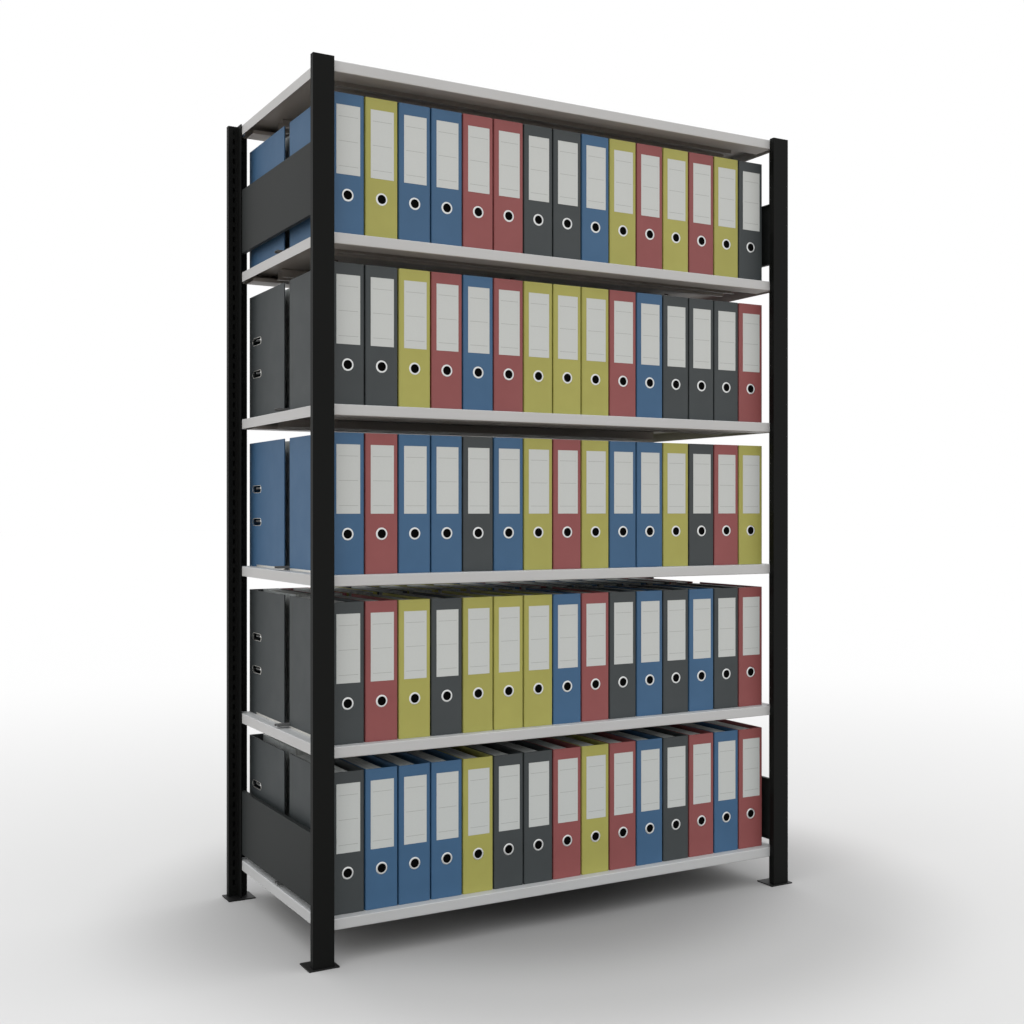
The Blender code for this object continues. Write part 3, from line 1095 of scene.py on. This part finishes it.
    def build(self, tree: NodeTree, finish: Material) -> Object:
        """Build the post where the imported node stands.

        Args:
            tree: Tree that stacks the cells.
            finish: Finish of the post.

        Returns:
            The post.
        """
        self.read_frame()
        cell = add_object("cell", self.cell_mesh())
        stack = run_tree(bpy.data.meshes.new("empty"), tree, {
            "Unit": cell,
            "Count": self.cells,
            "Start": (0.0, 0.0, self.first_cell),
            "Step": (0.0, 0.0, self.pitch),
        })
        bpy.data.objects.remove(cell, do_unlink=True)
        bm = bmesh.new()
        bm.from_mesh(stack)
        self.add_plain_length(bm, self.bottom, self.first_cell, self.bottom)
        self.add_plain_length(bm, self.first_cell + self.cells * self.pitch, self.top, self.top)
        bmesh.ops.remove_doubles(bm, verts=bm.verts, dist=WELD_DISTANCE)
        bmesh.ops.recalc_face_normals(bm, faces=bm.faces)
        turn = Matrix.Rotation(0.0 if self.face is RowFace.FRONT else HALF_TURN, 4, "Z")
        bm.transform(Matrix.Translation((self.middle, self.outer, 0.0)) @ turn)
        return add_object(f"{self.node}_post", settle(paint(to_mesh(bm, self.node), finish)))

    def dress(self, piece: Object) -> None:
        """Tie the post to the frame."""
        hand_over(piece, STEEL_BODY, [self.node])


@dataclass
class Shelf:
    """A folded sheet shelf with returned lips and two hat-section stiffeners under it."""

    sheet: float = 0.001
    fold: float = 0.0016          # bend radius at the sheet's middle
    lip: float = 0.0585
    lip_return: float = 0.009
    hat_from_edge: float = 0.088
    hat_foot: float = 0.0145
    hat_width: float = 0.031
    hat_from_end: float = 0.072
    hat_above_edge: float = 0.001
    lip_from_end: float = 0.0201
    notch_from_end: float = 0.0086
    notch_width: float = 0.005
    tongue_from_end: float = 0.148
    tongue_slot: Point = (0.0156, 0.0016)

    def read_frame(self) -> None:
        """Take the shelf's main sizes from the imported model."""
        low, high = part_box("shelf_1")
        self.half_length = (high.x - low.x) / 2
        self.half_depth = (high.y - low.y) / 2
        self.height = high.z - low.z
        self.stop_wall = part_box("centre_stop_1")[0].y + self.sheet / 2

    def tray_mesh(self) -> Mesh:
        """Make the main sheet, its lips cut back at the ends and notched for the clips.

        Returns:
            The sheet, with its top face at z = 0.
        """
        m = self.sheet / 2
        edge = self.half_depth - m
        lip_edge = self.half_depth - self.lip + m
        foot = m - self.height
        half = [(lip_edge, self.lip_return - self.height), (lip_edge, foot), (edge, foot), (edge, -m)]
        path = half + [(-y, z) for y, z in reversed(half)]
        bm, lips, notches, slots = bmesh.new(), bmesh.new(), bmesh.new(), bmesh.new()
        reach = self.half_length - self.fold - m
        add_prism(bm, sheet_outline(path, self.sheet, self.fold), -reach, reach, "X")
        below = -2 * self.height
        for x_side in (-1, 1):
            lip_end = x_side * (self.half_length - self.lip_from_end)
            past_end = x_side * (self.half_length + self.sheet)
            notch = x_side * (self.half_length - self.notch_from_end)
            for y_side in (-1, 1):
                inner = y_side * (self.half_depth - self.lip - self.sheet)
                wall = y_side * (self.half_depth - self.sheet)
                add_box(lips, (lip_end, inner, below), (past_end, wall, -self.sheet - HAIRLINE))
                inner = y_side * (self.half_depth - 2 * self.sheet)
                outer = y_side * 2 * self.half_depth
                low = (notch - self.notch_width / 2, inner, below)
                add_box(notches, low, (notch + self.notch_width / 2, outer, -self.sheet))
        reach = self.half_length - self.tongue_from_end
        length, width = self.tongue_slot
        for x in (-reach, 0.0, reach):
            low = (x - length / 2, self.stop_wall - width / 2, -2 * self.sheet)
            add_box(slots, low, (x + length / 2, self.stop_wall + width / 2, self.sheet))
        cutters = [to_mesh(lips, "lip ends"), to_mesh(notches, "notches"), to_mesh(slots, "tongue slots")]
        return carve(to_mesh(bm, "tray"), cutters)

    def add_ends(self, bm: BMesh) -> None:
        """Add the end flanges, bent down from the top sheet.

        Args:
            bm: Mesh that gets the flanges.
        """
        m = self.sheet / 2
        start = self.half_length - self.fold - m
        edge = self.half_length - m
        depth = self.half_depth - self.fold - m
        arc = bend([(start - self.fold, -m), (edge, -m), (edge, -self.height)], self.fold)
        outline = sheet_outline([p for p in arc if p[0] > start - m], self.sheet, MERGE_DISTANCE, 1)
        add_prism(bm, outline, -depth, depth, "Y")
        add_prism(bm, [(-x, z) for x, z in outline], -depth, depth, "Y")

    def add_hats(self, bm: BMesh) -> None:
        """Add the two stiffeners, their crowns against the top sheet.

        Args:
            bm: Mesh that gets the stiffeners.
        """
        m = self.sheet / 2
        foot_z = self.hat_above_edge - self.height + m
        crown_z = -self.sheet - m - HAIRLINE
        near = self.half_depth - self.hat_from_edge
        leg = near - self.hat_foot + m
        far_leg = leg - self.hat_width - self.sheet
        path = [(near, foot_z), (leg, foot_z), (leg, crown_z), (far_leg, crown_z), (far_leg, foot_z)]
        path.append((far_leg - self.hat_foot, foot_z))
        reach = self.half_length - self.hat_from_end
        outline = sheet_outline(path, self.sheet, self.fold, 3)
        add_prism(bm, outline, -reach, reach, "X")
        add_prism(bm, [(-y, z) for y, z in outline], -reach, reach, "X")

    def build(self, finish: Material) -> list[Object]:
        """Build all the shelves, from the lowest.

        Args:
            finish: Finish of the shelves.

        Returns:
            The shelves.
        """
        self.read_frame()
        bm = bmesh.new()
        bm.from_mesh(self.tray_mesh())
        self.add_ends(bm)
        self.add_hats(bm)
        mesh = paint(settle(to_mesh(bm, "shelf")), finish)
        shelves = []
        for i in range(SHELF_COUNT):
            copy = mesh.copy()
            copy.transform(Matrix.Translation((0.0, 0.0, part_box(f"shelf_{i + 1}")[1].z)))
            shelves.append(add_object(f"shelf_{i + 1}_tray", copy))
        return shelves

    def dress(self, shelves: Sequence[Object]) -> None:
        """Tie the shelves to the frame."""
        for i, shelf in enumerate(shelves):
            hand_over(shelf, STEEL_BODY, [f"shelf_{i + 1}"])


@dataclass
class RoundedNode:
    """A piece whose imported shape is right, with its edges rounded."""

    node: str
    piece: str
    slot: str
    edge: float

    def build(self, finish: Material) -> Object:
        """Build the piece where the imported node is."""
        return add_object(self.piece, paint(settle(packed_copy(self.node), self.edge), finish))

    def dress(self, piece: Object) -> None:
        """Tie the piece to the frame."""
        hand_over(piece, STEEL_BODY, [self.node])


@dataclass
class ShelfClips:
    """The hooked clips under the shelves' corners, four to a shelf."""

    edge: float = SHEET_EDGE

    def nodes(self, face: RowFace) -> list[str]:
        """Names of the clips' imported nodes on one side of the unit."""
        levels = range(1, SHELF_COUNT + 1)
        return [f"shelf_{i}_clip_{face.value}_{hand}" for i in levels for hand in HANDS]

    def seat(self, node: str, face: RowFace) -> Corner:
        """Point of a clip that all clips share: its middle, at the hook's outer end and the top."""
        low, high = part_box(node)
        return ((low.x + high.x) / 2, low.y if face is RowFace.FRONT else high.y, high.z)

    def build(self, finish: Material) -> Object:
        """Build all the clips as one piece.

        Args:
            finish: Finish of the clips.

        Returns:
            The clips.
        """
        first = self.nodes(RowFace.FRONT)[0]
        shape = packed_copy(first)
        shape.transform(Matrix.Translation(-Vector(self.seat(first, RowFace.FRONT))))
        clip = add_object("clip", settle(shape, self.edge))
        tree = standing_tree(["Clip"])
        bm = bmesh.new()
        for face, turn in ((RowFace.FRONT, 0.0), (RowFace.REAR, HALF_TURN)):
            seats = points_mesh([self.seat(node, face) for node in self.nodes(face)])
            bm.from_mesh(run_tree(seats, tree, {"Turn": turn, "Clip": clip, "Clip finish": finish}))
        bpy.data.objects.remove(clip, do_unlink=True)
        return add_object("shelf_clips", paint(settle(to_mesh(bm, "clips")), finish))

    def dress(self, piece: Object) -> None:
        """Tie the clips to the frame."""
        hand_over(piece, STEEL_BODY, self.nodes(RowFace.FRONT) + self.nodes(RowFace.REAR))


@dataclass
class LeverArchFile:
    """One file on z = 0, its spine at y = 0: folded covers, label, finger ring, paper and lever arch."""

    joint: float = 0.0032          # gap between neighbours
    offset: float = 0.0011         # how far the files stand to the right of even places
    board: float = 0.0025
    spine_bend: float = 0.0020
    ring_height: float = 0.0905
    ring_hole: float = 0.0100
    ring_outer: float = 0.0143
    ring_rise: float = 0.0013
    ring_sides: int = 24
    # Shares of the rolled rim's width and of its rise
    ring_profile: tuple[Point, ...] = ((0.0, 0.0), (0.12, 0.7), (0.42, 1.0), (0.78, 0.75), (1.0, 0.0))
    well_wall: float = 0.0004
    well_depth: float = 0.0026
    guard_height: float = 0.0050   # metal edge along the covers' feet
    guard_from_spine: float = 0.060
    guard_proud: float = 0.0002
    guard_edge: float = 0.0002     # radius of the guards' edges
    label_left: float = 0.0155
    label_width: float = 0.0570
    label_low: float = 0.1362
    label_height: float = 0.1554
    label_sheet: float = 0.0003
    rule_heights: tuple[float, float, float] = (0.167, 0.521, 0.883)
    rule_inset: float = 0.09
    rule_width: float = 0.0008
    rule_proud: float = 0.4        # share of the label's thickness
    lock_spacing: float = 0.084
    lock_from_spine: float = 0.0615
    lock_below_arch: float = 0.0025
    lock_length: float = 0.070
    lock_height: float = 0.020
    lock_rim: float = 0.0017
    lock_rise: float = 0.0005
    lock_steps: int = 6            # runs in each end of a lock slot's rim
    rim_steps: int = 4             # runs across the rim
    paper_share: float = 0.55      # of the room between the covers
    paper_short_of_edge: float = 0.018
    paper_above_top: float = -0.0012
    paper_bundles: int = 4
    paper_shift: float = 0.0006    # how far one bundle stands past the next
    paper_back_shift: float = 0.0048   # the same at the sheets' far edge
    paper_seed: int = 11
    arch_from_spine: float = 0.050
    arch_span: float = 0.042
    arch_bend: float = 0.008       # radius of the arches' corners
    arch_wire: float = 0.0024      # radius of the wire
    wire_sides: int = 6
    arch_plate: tuple[float, float, float] = (0.0016, 0.022, 0.170)
    lever_width: float = 0.008
    lever_length: float = 0.075
    lever_sheet: float = 0.002
    lever_above_arch: float = 0.012

    def read_frame(self) -> None:
        """Take the file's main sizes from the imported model."""
        low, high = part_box("front_file_row_1")
        self.pitch = (high.x - low.x) / FILES_PER_ROW
        self.depth = high.y - low.y
        self.height = high.z - low.z
        self.left = self.offset + self.joint / 2
        self.right = self.offset + self.pitch - self.joint / 2

    def covers(self) -> Mesh:
        """Make the covers and the spine as one folded board, with the finger hole and the lock slots.

        Returns:
            The board.
        """
        m = self.board / 2
        left, right = self.left + m, self.right - m
        path = [(left, self.depth), (left, m), (right, m), (right, self.depth)]
        bm, hole, locks = bmesh.new(), bmesh.new(), bmesh.new()
        add_prism(bm, sheet_outline(path, self.board, self.spine_bend), 0.0, self.height, "Z")
        radius = self.ring_hole + self.well_wall
        front, back = -self.board, 2 * self.board
        profile = [(0.0, front), (radius, front), (radius, back), (0.0, back)]
        add_turned(hole, profile, self.ring_centre(), self.ring_sides, closed=False)
        opening = stadium(self.lock_length - 2 * self.lock_rim, self.lock_height - 2 * self.lock_rim)
        for height in self.lock_heights():
            outline = [(self.lock_from_spine + a, height + b) for a, b in opening]
            add_prism(locks, outline, self.right - 2 * self.board, self.right + self.board, "X")
        return carve(to_mesh(bm, "covers"), [to_mesh(hole, "finger hole"), to_mesh(locks, "lock slots")])

    def ring_centre(self) -> Corner:
        """Middle of the finger ring on the spine."""
        return ((self.left + self.right) / 2, 0.0, self.ring_height)

    def arch_heights(self) -> list[float]:
        """Heights of the two wire arches."""
        return [(self.height + side * self.lock_spacing) / 2 for side in (-1, 1)]

    def lock_heights(self) -> list[float]:
        """Heights of the two lock slots' middles."""
        return [height - self.lock_below_arch for height in self.arch_heights()]

    def label(self) -> Mesh:
        """Make the label card on the spine.

        Returns:
            The card.
        """
        bm = bmesh.new()
        low = (self.label_left, -self.label_sheet, self.label_low)
        add_box(bm, low, (low[0] + self.label_width, 0.0, low[2] + self.label_height))
        return to_mesh(bm, "label")

    def rules(self) -> Mesh:
        """Make the printed lines on the label.

        Returns:
            The lines.
        """
        bm = bmesh.new()
        inset = self.rule_inset * self.label_width
        front = -(1 + self.rule_proud) * self.label_sheet
        for share in self.rule_heights:
            z = self.label_low + self.label_height - share * self.label_height
            low = (self.label_left + inset, front, z - self.rule_width / 2)
            high = (self.label_left + self.label_width - inset, -self.label_sheet, z + self.rule_width / 2)
            add_box(bm, low, high)
        return to_mesh(bm, "label lines")

    def ring(self) -> Mesh:
        """Make the rolled rim of the finger hole.

        Returns:
            The rim.
        """
        bm = bmesh.new()
        width = self.ring_outer - self.ring_hole
        profile = [(self.ring_hole + a * width, -b * self.ring_rise) for a, b in self.ring_profile]
        add_turned(bm, profile, self.ring_centre(), self.ring_sides, closed=True)
        return to_mesh(bm, "finger ring")

    def well(self) -> Mesh:
        """Make the near-black cup behind the finger hole: painted shade where the hole looks into the file.

        Returns:
            The cup.
        """
        bm = bmesh.new()
        outer = self.ring_hole + self.well_wall / 2
        inner = self.ring_hole - self.well_wall / 2
        floor = self.well_depth - self.well_wall
        profile = [(0.0, self.well_depth), (outer, self.well_depth), (outer, 0.0)]
        profile += [(inner, 0.0), (inner, floor), (0.0, floor)]
        add_turned(bm, profile, self.ring_centre(), self.ring_sides, closed=False)
        return to_mesh(bm, "finger well")

    def lock_rims(self) -> Mesh:
        """Make the rolled metal rims of the lock slots in the front cover.

        Returns:
            The rims.
        """
        bm = bmesh.new()
        inside = self.right - self.board - self.lock_rise
        profile = [(0.0, inside)]
        for i in range(self.rim_steps + 1):
            share = i / self.rim_steps
            rise = self.lock_rise * math.sin(HALF_TURN * share)
            profile.append((share * self.lock_rim, self.right + rise))
        profile.append((self.lock_rim, inside))
        for height in self.lock_heights():
            rings = []
            for inset, x in profile:
                size = (self.lock_length - 2 * inset, self.lock_height - 2 * inset)
                outline = stadium(*size, self.lock_steps)
                rings.append([bm.verts.new((x, self.lock_from_spine + a, height + b)) for a, b in outline])
            add_skin(bm, rings, capped=False, closed=True)
        return to_mesh(bm, "lock rims")

    def edge_guards(self) -> Mesh:
        """Make the bright metal edges along the feet of both covers.

        Returns:
            The edges.
        """
        bm = bmesh.new()
        proud = self.guard_proud
        for low in (self.left, self.right - self.board):
            high = (low + self.board + proud, self.depth + proud, self.guard_height)
            add_box(bm, (low - proud, self.guard_from_spine, -proud / 2), high)
        return to_mesh(bm, "edge guards")

    def paper(self) -> Mesh:
        """Make the sheets against the back cover, in a few bundles that don't quite line up.

        Returns:
            The sheets.
        """
        bm = bmesh.new()
        draw = random.Random(self.paper_seed)
        room = self.right - self.left - 2 * self.board - 2 * HAIRLINE
        start = self.left + self.board + HAIRLINE
        width = room * self.paper_share / self.paper_bundles
        for i in range(self.paper_bundles):
            front = self.board + HAIRLINE + draw.uniform(0.0, self.paper_shift)
            back = self.depth - self.paper_short_of_edge - draw.uniform(0.0, self.paper_back_shift)
            top = self.height + self.paper_above_top - draw.uniform(0.0, self.paper_shift)
            x = start + i * width
            add_box(bm, (x, front, HAIRLINE), (x + width - HAIRLINE / 2, back, top))
        return to_mesh(bm, "paper")

    def lever_arch(self) -> Mesh:
        """Make the mechanism on the back cover: base plate, two wire arches and the lever.

        Returns:
            The mechanism.
        """
        bm = bmesh.new()
        base = self.left + self.board + HAIRLINE
        thick, wide, tall = self.arch_plate
        middle = self.height / 2
        y = self.arch_from_spine
        add_box(bm, (base, y - wide / 2, middle - tall / 2), (base + thick, y + wide / 2, middle + tall / 2))
        crown = self.right + self.lock_rise - self.arch_wire
        far = y + self.arch_span
        arch = bend([(base, y), (crown, y), (crown, far), (base, far)], self.arch_bend)
        for height in self.arch_heights():
            add_rod(bm, [(x, along, height) for x, along in arch], self.arch_wire, self.wire_sides)
        foot = middle + self.lock_spacing / 2 + self.lever_above_arch
        low = (crown - 2 * self.lever_sheet, y - self.lever_width / 2, foot)
        add_box(bm, low, (crown - self.lever_sheet, y + self.lever_width / 2, foot + self.lever_length))
        return to_mesh(bm, "lever arch")

    def parts(self, finishes: Finishes) -> dict[str, tuple[Mesh, Material]]:
        """Every part of a file with its finish.

        Args:
            finishes: The unit's finishes.

        Returns:
            Part name with its mesh and finish.
        """
        self.read_frame()
        return {
            "Covers": (settle(self.covers()), finishes.cover),
            "Label": (self.label(), finishes.label),
            "Rules": (self.rules(), finishes.rule),
            "Ring": (settle(self.ring()), finishes.nickel),
            "Well": (settle(self.well()), finishes.hole_shade),
            "Lock rims": (settle(self.lock_rims()), finishes.satin),
            "Edge guards": (settle(self.edge_guards(), self.guard_edge), finishes.satin),
            "Paper": (self.paper(), finishes.paper),
            "Lever arch": (settle(self.lever_arch()), finishes.nickel),
        }


@dataclass
class FileRow:
    """Fifteen files side by side on one side of a shelf, drawn out together."""

    face: RowFace
    level: int
    order: str
    tone_spread: float = 0.03      # small differences between batches of covers

    @property
    def node(self) -> str:
        """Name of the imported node."""
        return f"{self.face.value}_file_row_{self.level}"

    def places(self, pitch: float) -> list[Corner]:
        """Find the points that the files stand on.

        Args:
            pitch: Width of a file and its joint.

        Returns:
            The points, from the left of the unit's front.
        """
        low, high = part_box(self.node)
        first, y = (0, low.y) if self.face is RowFace.FRONT else (1, high.y)
        return [(low.x + (first + i) * pitch, y, low.z) for i in range(FILES_PER_ROW)]

    def tints(self) -> list[float]:
        """Mix the colour of each file's covers.

        Returns:
            Linear colours, four numbers to a file.
        """
        draw = random.Random(self.node)
        flat: list[float] = []
        for letter in self.order:
            tone = 1.0 + draw.uniform(-self.tone_spread, self.tone_spread)
            flat += [c * tone for c in linear(COVER_LETTERS[letter].value)[:3]] + [1.0]
        return flat

    def build(self, tree: NodeTree, values: dict[str, Any], pitch: float) -> Object:
        """Build the row.

        Args:
            tree: Tree that stands a file on each point.
            values: The file's parts and finishes, as the tree's inputs.
            pitch: Width of a file and its joint.

        Returns:
            The row.
        """
        carrier = points_mesh(self.places(pitch))
        tint = carrier.attributes.new(TINT, "FLOAT_COLOR", "POINT")
        tint.data.foreach_set("color", self.tints())
        turn = 0.0 if self.face is RowFace.FRONT else HALF_TURN
        return add_object(f"{self.node}_files", run_tree(carrier, tree, values | {"Turn": turn}))

    def dress(self, piece: Object) -> None:
        """Tie the row to the frame."""
        hand_over(piece, f"{self.face.value}_files_{self.level}", [self.node])


@dataclass
class Studio:
    """Pale floor with a painted shadow round the unit, even white light and the camera."""

    eye: Corner = (-1.6724, -2.9619, 0.9993)
    yaw: float = -0.5140
    lens: float = 45.189
    sensor: float = 36.0
    sky: float = 1.52              # strength of the light from above, on a floor that sends little back
    floor_half: float = 60.0
    # Middle and reaches of the floor's painted shadow and painted bounce light
    floor_middle: Point = (0.05, -0.05)
    floor_reach: Point = (0.9, 0.85)
    floor_roughness: float = 0.9
    floor_shadow_tones: Tones = (         # painted shadow round the unit: reaches from the middle, and the tone there
        (0.12, "#7c7c7c"),
        (0.40, "#969696"),
        (0.85, "#b1b1b1"),
        (1.35, "#c9c9c9"),
        (6.00, "#d4d4d4"),         # white under this light
    )
    floor_painted_bounce: Tones = (        # painted bounce light: the same for what the floor sends back onto the unit, painted shade near it and warm light further off
        (0.50, "#4e4a45"),
        (0.85, "#6a645d"),
        (1.25, "#8d8075"),
        (6.00, "#9a8b7e"),
    )

    def build(self) -> None:
        """Set up floor, light and camera."""
        scene = bpy.context.scene
        scene.view_settings.view_transform = "Standard"
        self.build_floor()
        self.build_light()
        camera = bpy.data.cameras.new("camera")
        camera.lens = self.lens
        camera.sensor_width = self.sensor
        camera.clip_end = 4 * self.floor_half
        stand = bpy.data.objects.new("camera", camera)
        stand.location = self.eye
        stand.rotation_euler = (QUARTER_TURN, 0.0, self.yaw)
        scene.collection.objects.link(stand)
        scene.camera = stand

    def build_floor(self) -> None:
        """Lay the floor, with a painted shadow round the unit."""
        half = self.floor_half
        mesh = bpy.data.meshes.new("floor")
        corners = [(-half, -half, 0.0), (half, -half, 0.0), (half, half, 0.0), (-half, half, 0.0)]
        mesh.from_pydata(corners, [], [(0, 1, 2, 3)])
        material, tree, shader, place = start_material("pale matt floor")
        spread = (1 / self.floor_reach[0], 1 / self.floor_reach[1], 1.0)
        middle = (-self.floor_middle[0] * spread[0], -self.floor_middle[1] * spread[1], 0.0)
        centred = add_node(tree, "ShaderNodeMapping", {"Vector": place, "Location": middle, "Scale": spread})
        away = add_node(tree, "ShaderNodeVectorMath", {0: centred.outputs["Vector"]}, operation="LENGTH")
        tone = add_node(tree, "ShaderNodeMix", {
            "Factor": self.seen_ray(tree),
            COLOUR_A: self.ring_tones(tree, away.outputs["Value"], self.floor_painted_bounce),
            COLOUR_B: self.ring_tones(tree, away.outputs["Value"], self.floor_shadow_tones),
        }, data_type="RGBA")
        fill(tree, shader, {
            "Base Color": tone.outputs[COLOUR_RESULT],
            "Roughness": self.floor_roughness,
            "Specular IOR Level": 0.0,
        })
        add_object("floor", paint(mesh, material))

    def ring_tones(self, tree: NodeTree, away: NodeSocket, tones: Tones) -> NodeSocket:
        """Colour that changes with the distance from the floor's middle.

        Args:
            tree: The floor's tree.
            away: Distance, in reaches.
            tones: Distances and the tones there.

        Returns:
            Socket with the colour.
        """
        last = tones[-1][0]
        share = add_node(tree, "ShaderNodeMath", {0: away, 1: last}, operation="DIVIDE")
        ramp = add_node(tree, "ShaderNodeValToRGB", {"Fac": share.outputs[0]})
        ramp.color_ramp.interpolation = "EASE"
        stops = ramp.color_ramp.elements
        while len(stops) < len(tones):
            stops.new(1.0)
        for stop, (reach, tone) in zip(stops, tones):
            stop.position = reach / last
            stop.color = linear(tone)
        return ramp.outputs["Color"]

    def seen_ray(self, tree: NodeTree) -> NodeSocket:
        """Tell rays that are seen from rays that carry light.

        Args:
            tree: Tree that gets the nodes.

        Returns:
            Socket that is 1 where the camera, a reflection or a see-through surface looks, or else 0.
        """
        rays = add_node(tree, "ShaderNodeLightPath")
        seen = rays.outputs["Is Camera Ray"]
        for name in ("Is Glossy Ray", "Is Transmission Ray"):
            either = add_node(tree, "ShaderNodeMath", {0: seen, 1: rays.outputs[name]}, operation="MAXIMUM")
            seen = either.outputs[0]
        return seen

    def build_light(self) -> None:
        """Light the unit from a white surround."""
        world = bpy.data.worlds.new("white surround")
        bpy.context.scene.world = world
        world.use_nodes = True
        tree = world.node_tree
        strength = add_node(tree, "ShaderNodeMix", {
            "Factor": self.seen_ray(tree),
            NUMBER_A: self.sky,
            NUMBER_B: 1.0,
        })
        fill(tree, tree.nodes["Background"], {
            "Color": (1.0, 1.0, 1.0, 1.0),
            "Strength": strength.outputs[NUMBER_RESULT],
        })


def build_steel(finishes: Finishes) -> None:
    """Build the uprights, feet, shelves, clips, side panels and centre stops.

    Args:
        finishes: The unit's finishes.
    """
    stack = stacking_tree()
    for face in RowFace:
        for hand in HANDS:
            upright = Upright(face, hand)
            upright.dress(upright.build(stack, finishes.upright))
            name = f"{face.value}_{hand}_foot"
            foot = RoundedNode(name, f"{name}_plate", "foot_plastic", FOOT_EDGE)
            foot.dress(foot.build(finishes.plastic))
    shelf = Shelf()
    shelf.dress(shelf.build(finishes.shelf))
    clips = ShelfClips()
    clips.dress(clips.build(finishes.zinc))
    for level in ("lower", "upper"):
        for hand in HANDS:
            name = f"{level}_{hand}"
            panel = RoundedNode(f"{name}_side_panel", f"{name}_panel_sheet", "panel_paint", SHEET_EDGE)
            panel.dress(panel.build(finishes.panel))
    for i in range(LEVEL_COUNT):
        name = f"centre_stop_{i + 1}"
        stop = RoundedNode(name, f"{name}_channel", "shelf_paint", SHEET_EDGE)
        stop.dress(stop.build(finishes.stop))


def build_files(finishes: Finishes) -> None:
    """Build every row of files.

    Args:
        finishes: The unit's finishes.
    """
    file = LeverArchFile()
    parts = file.parts(finishes)
    tree = standing_tree(list(parts))
    values: dict[str, Any] = {}
    for name, (mesh, finish) in parts.items():
        values[name] = add_object(name, mesh)
        values[f"{name} finish"] = finish
    for face in RowFace:
        for level, order in enumerate(FILE_ORDER, 1):
            row = FileRow(face, level, order)
            row.dress(row.build(tree, values, file.pitch))
    for name in parts:
        bpy.data.objects.remove(values[name], do_unlink=True)


def main() -> None:
    """Dress the unit and set up the studio."""
    logging.basicConfig(level=logging.INFO, format="%(message)s")
    finishes = Finishes()
    build_steel(finishes)
    build_files(finishes)
    Studio().build()


if __name__ == "__main__":
    main()
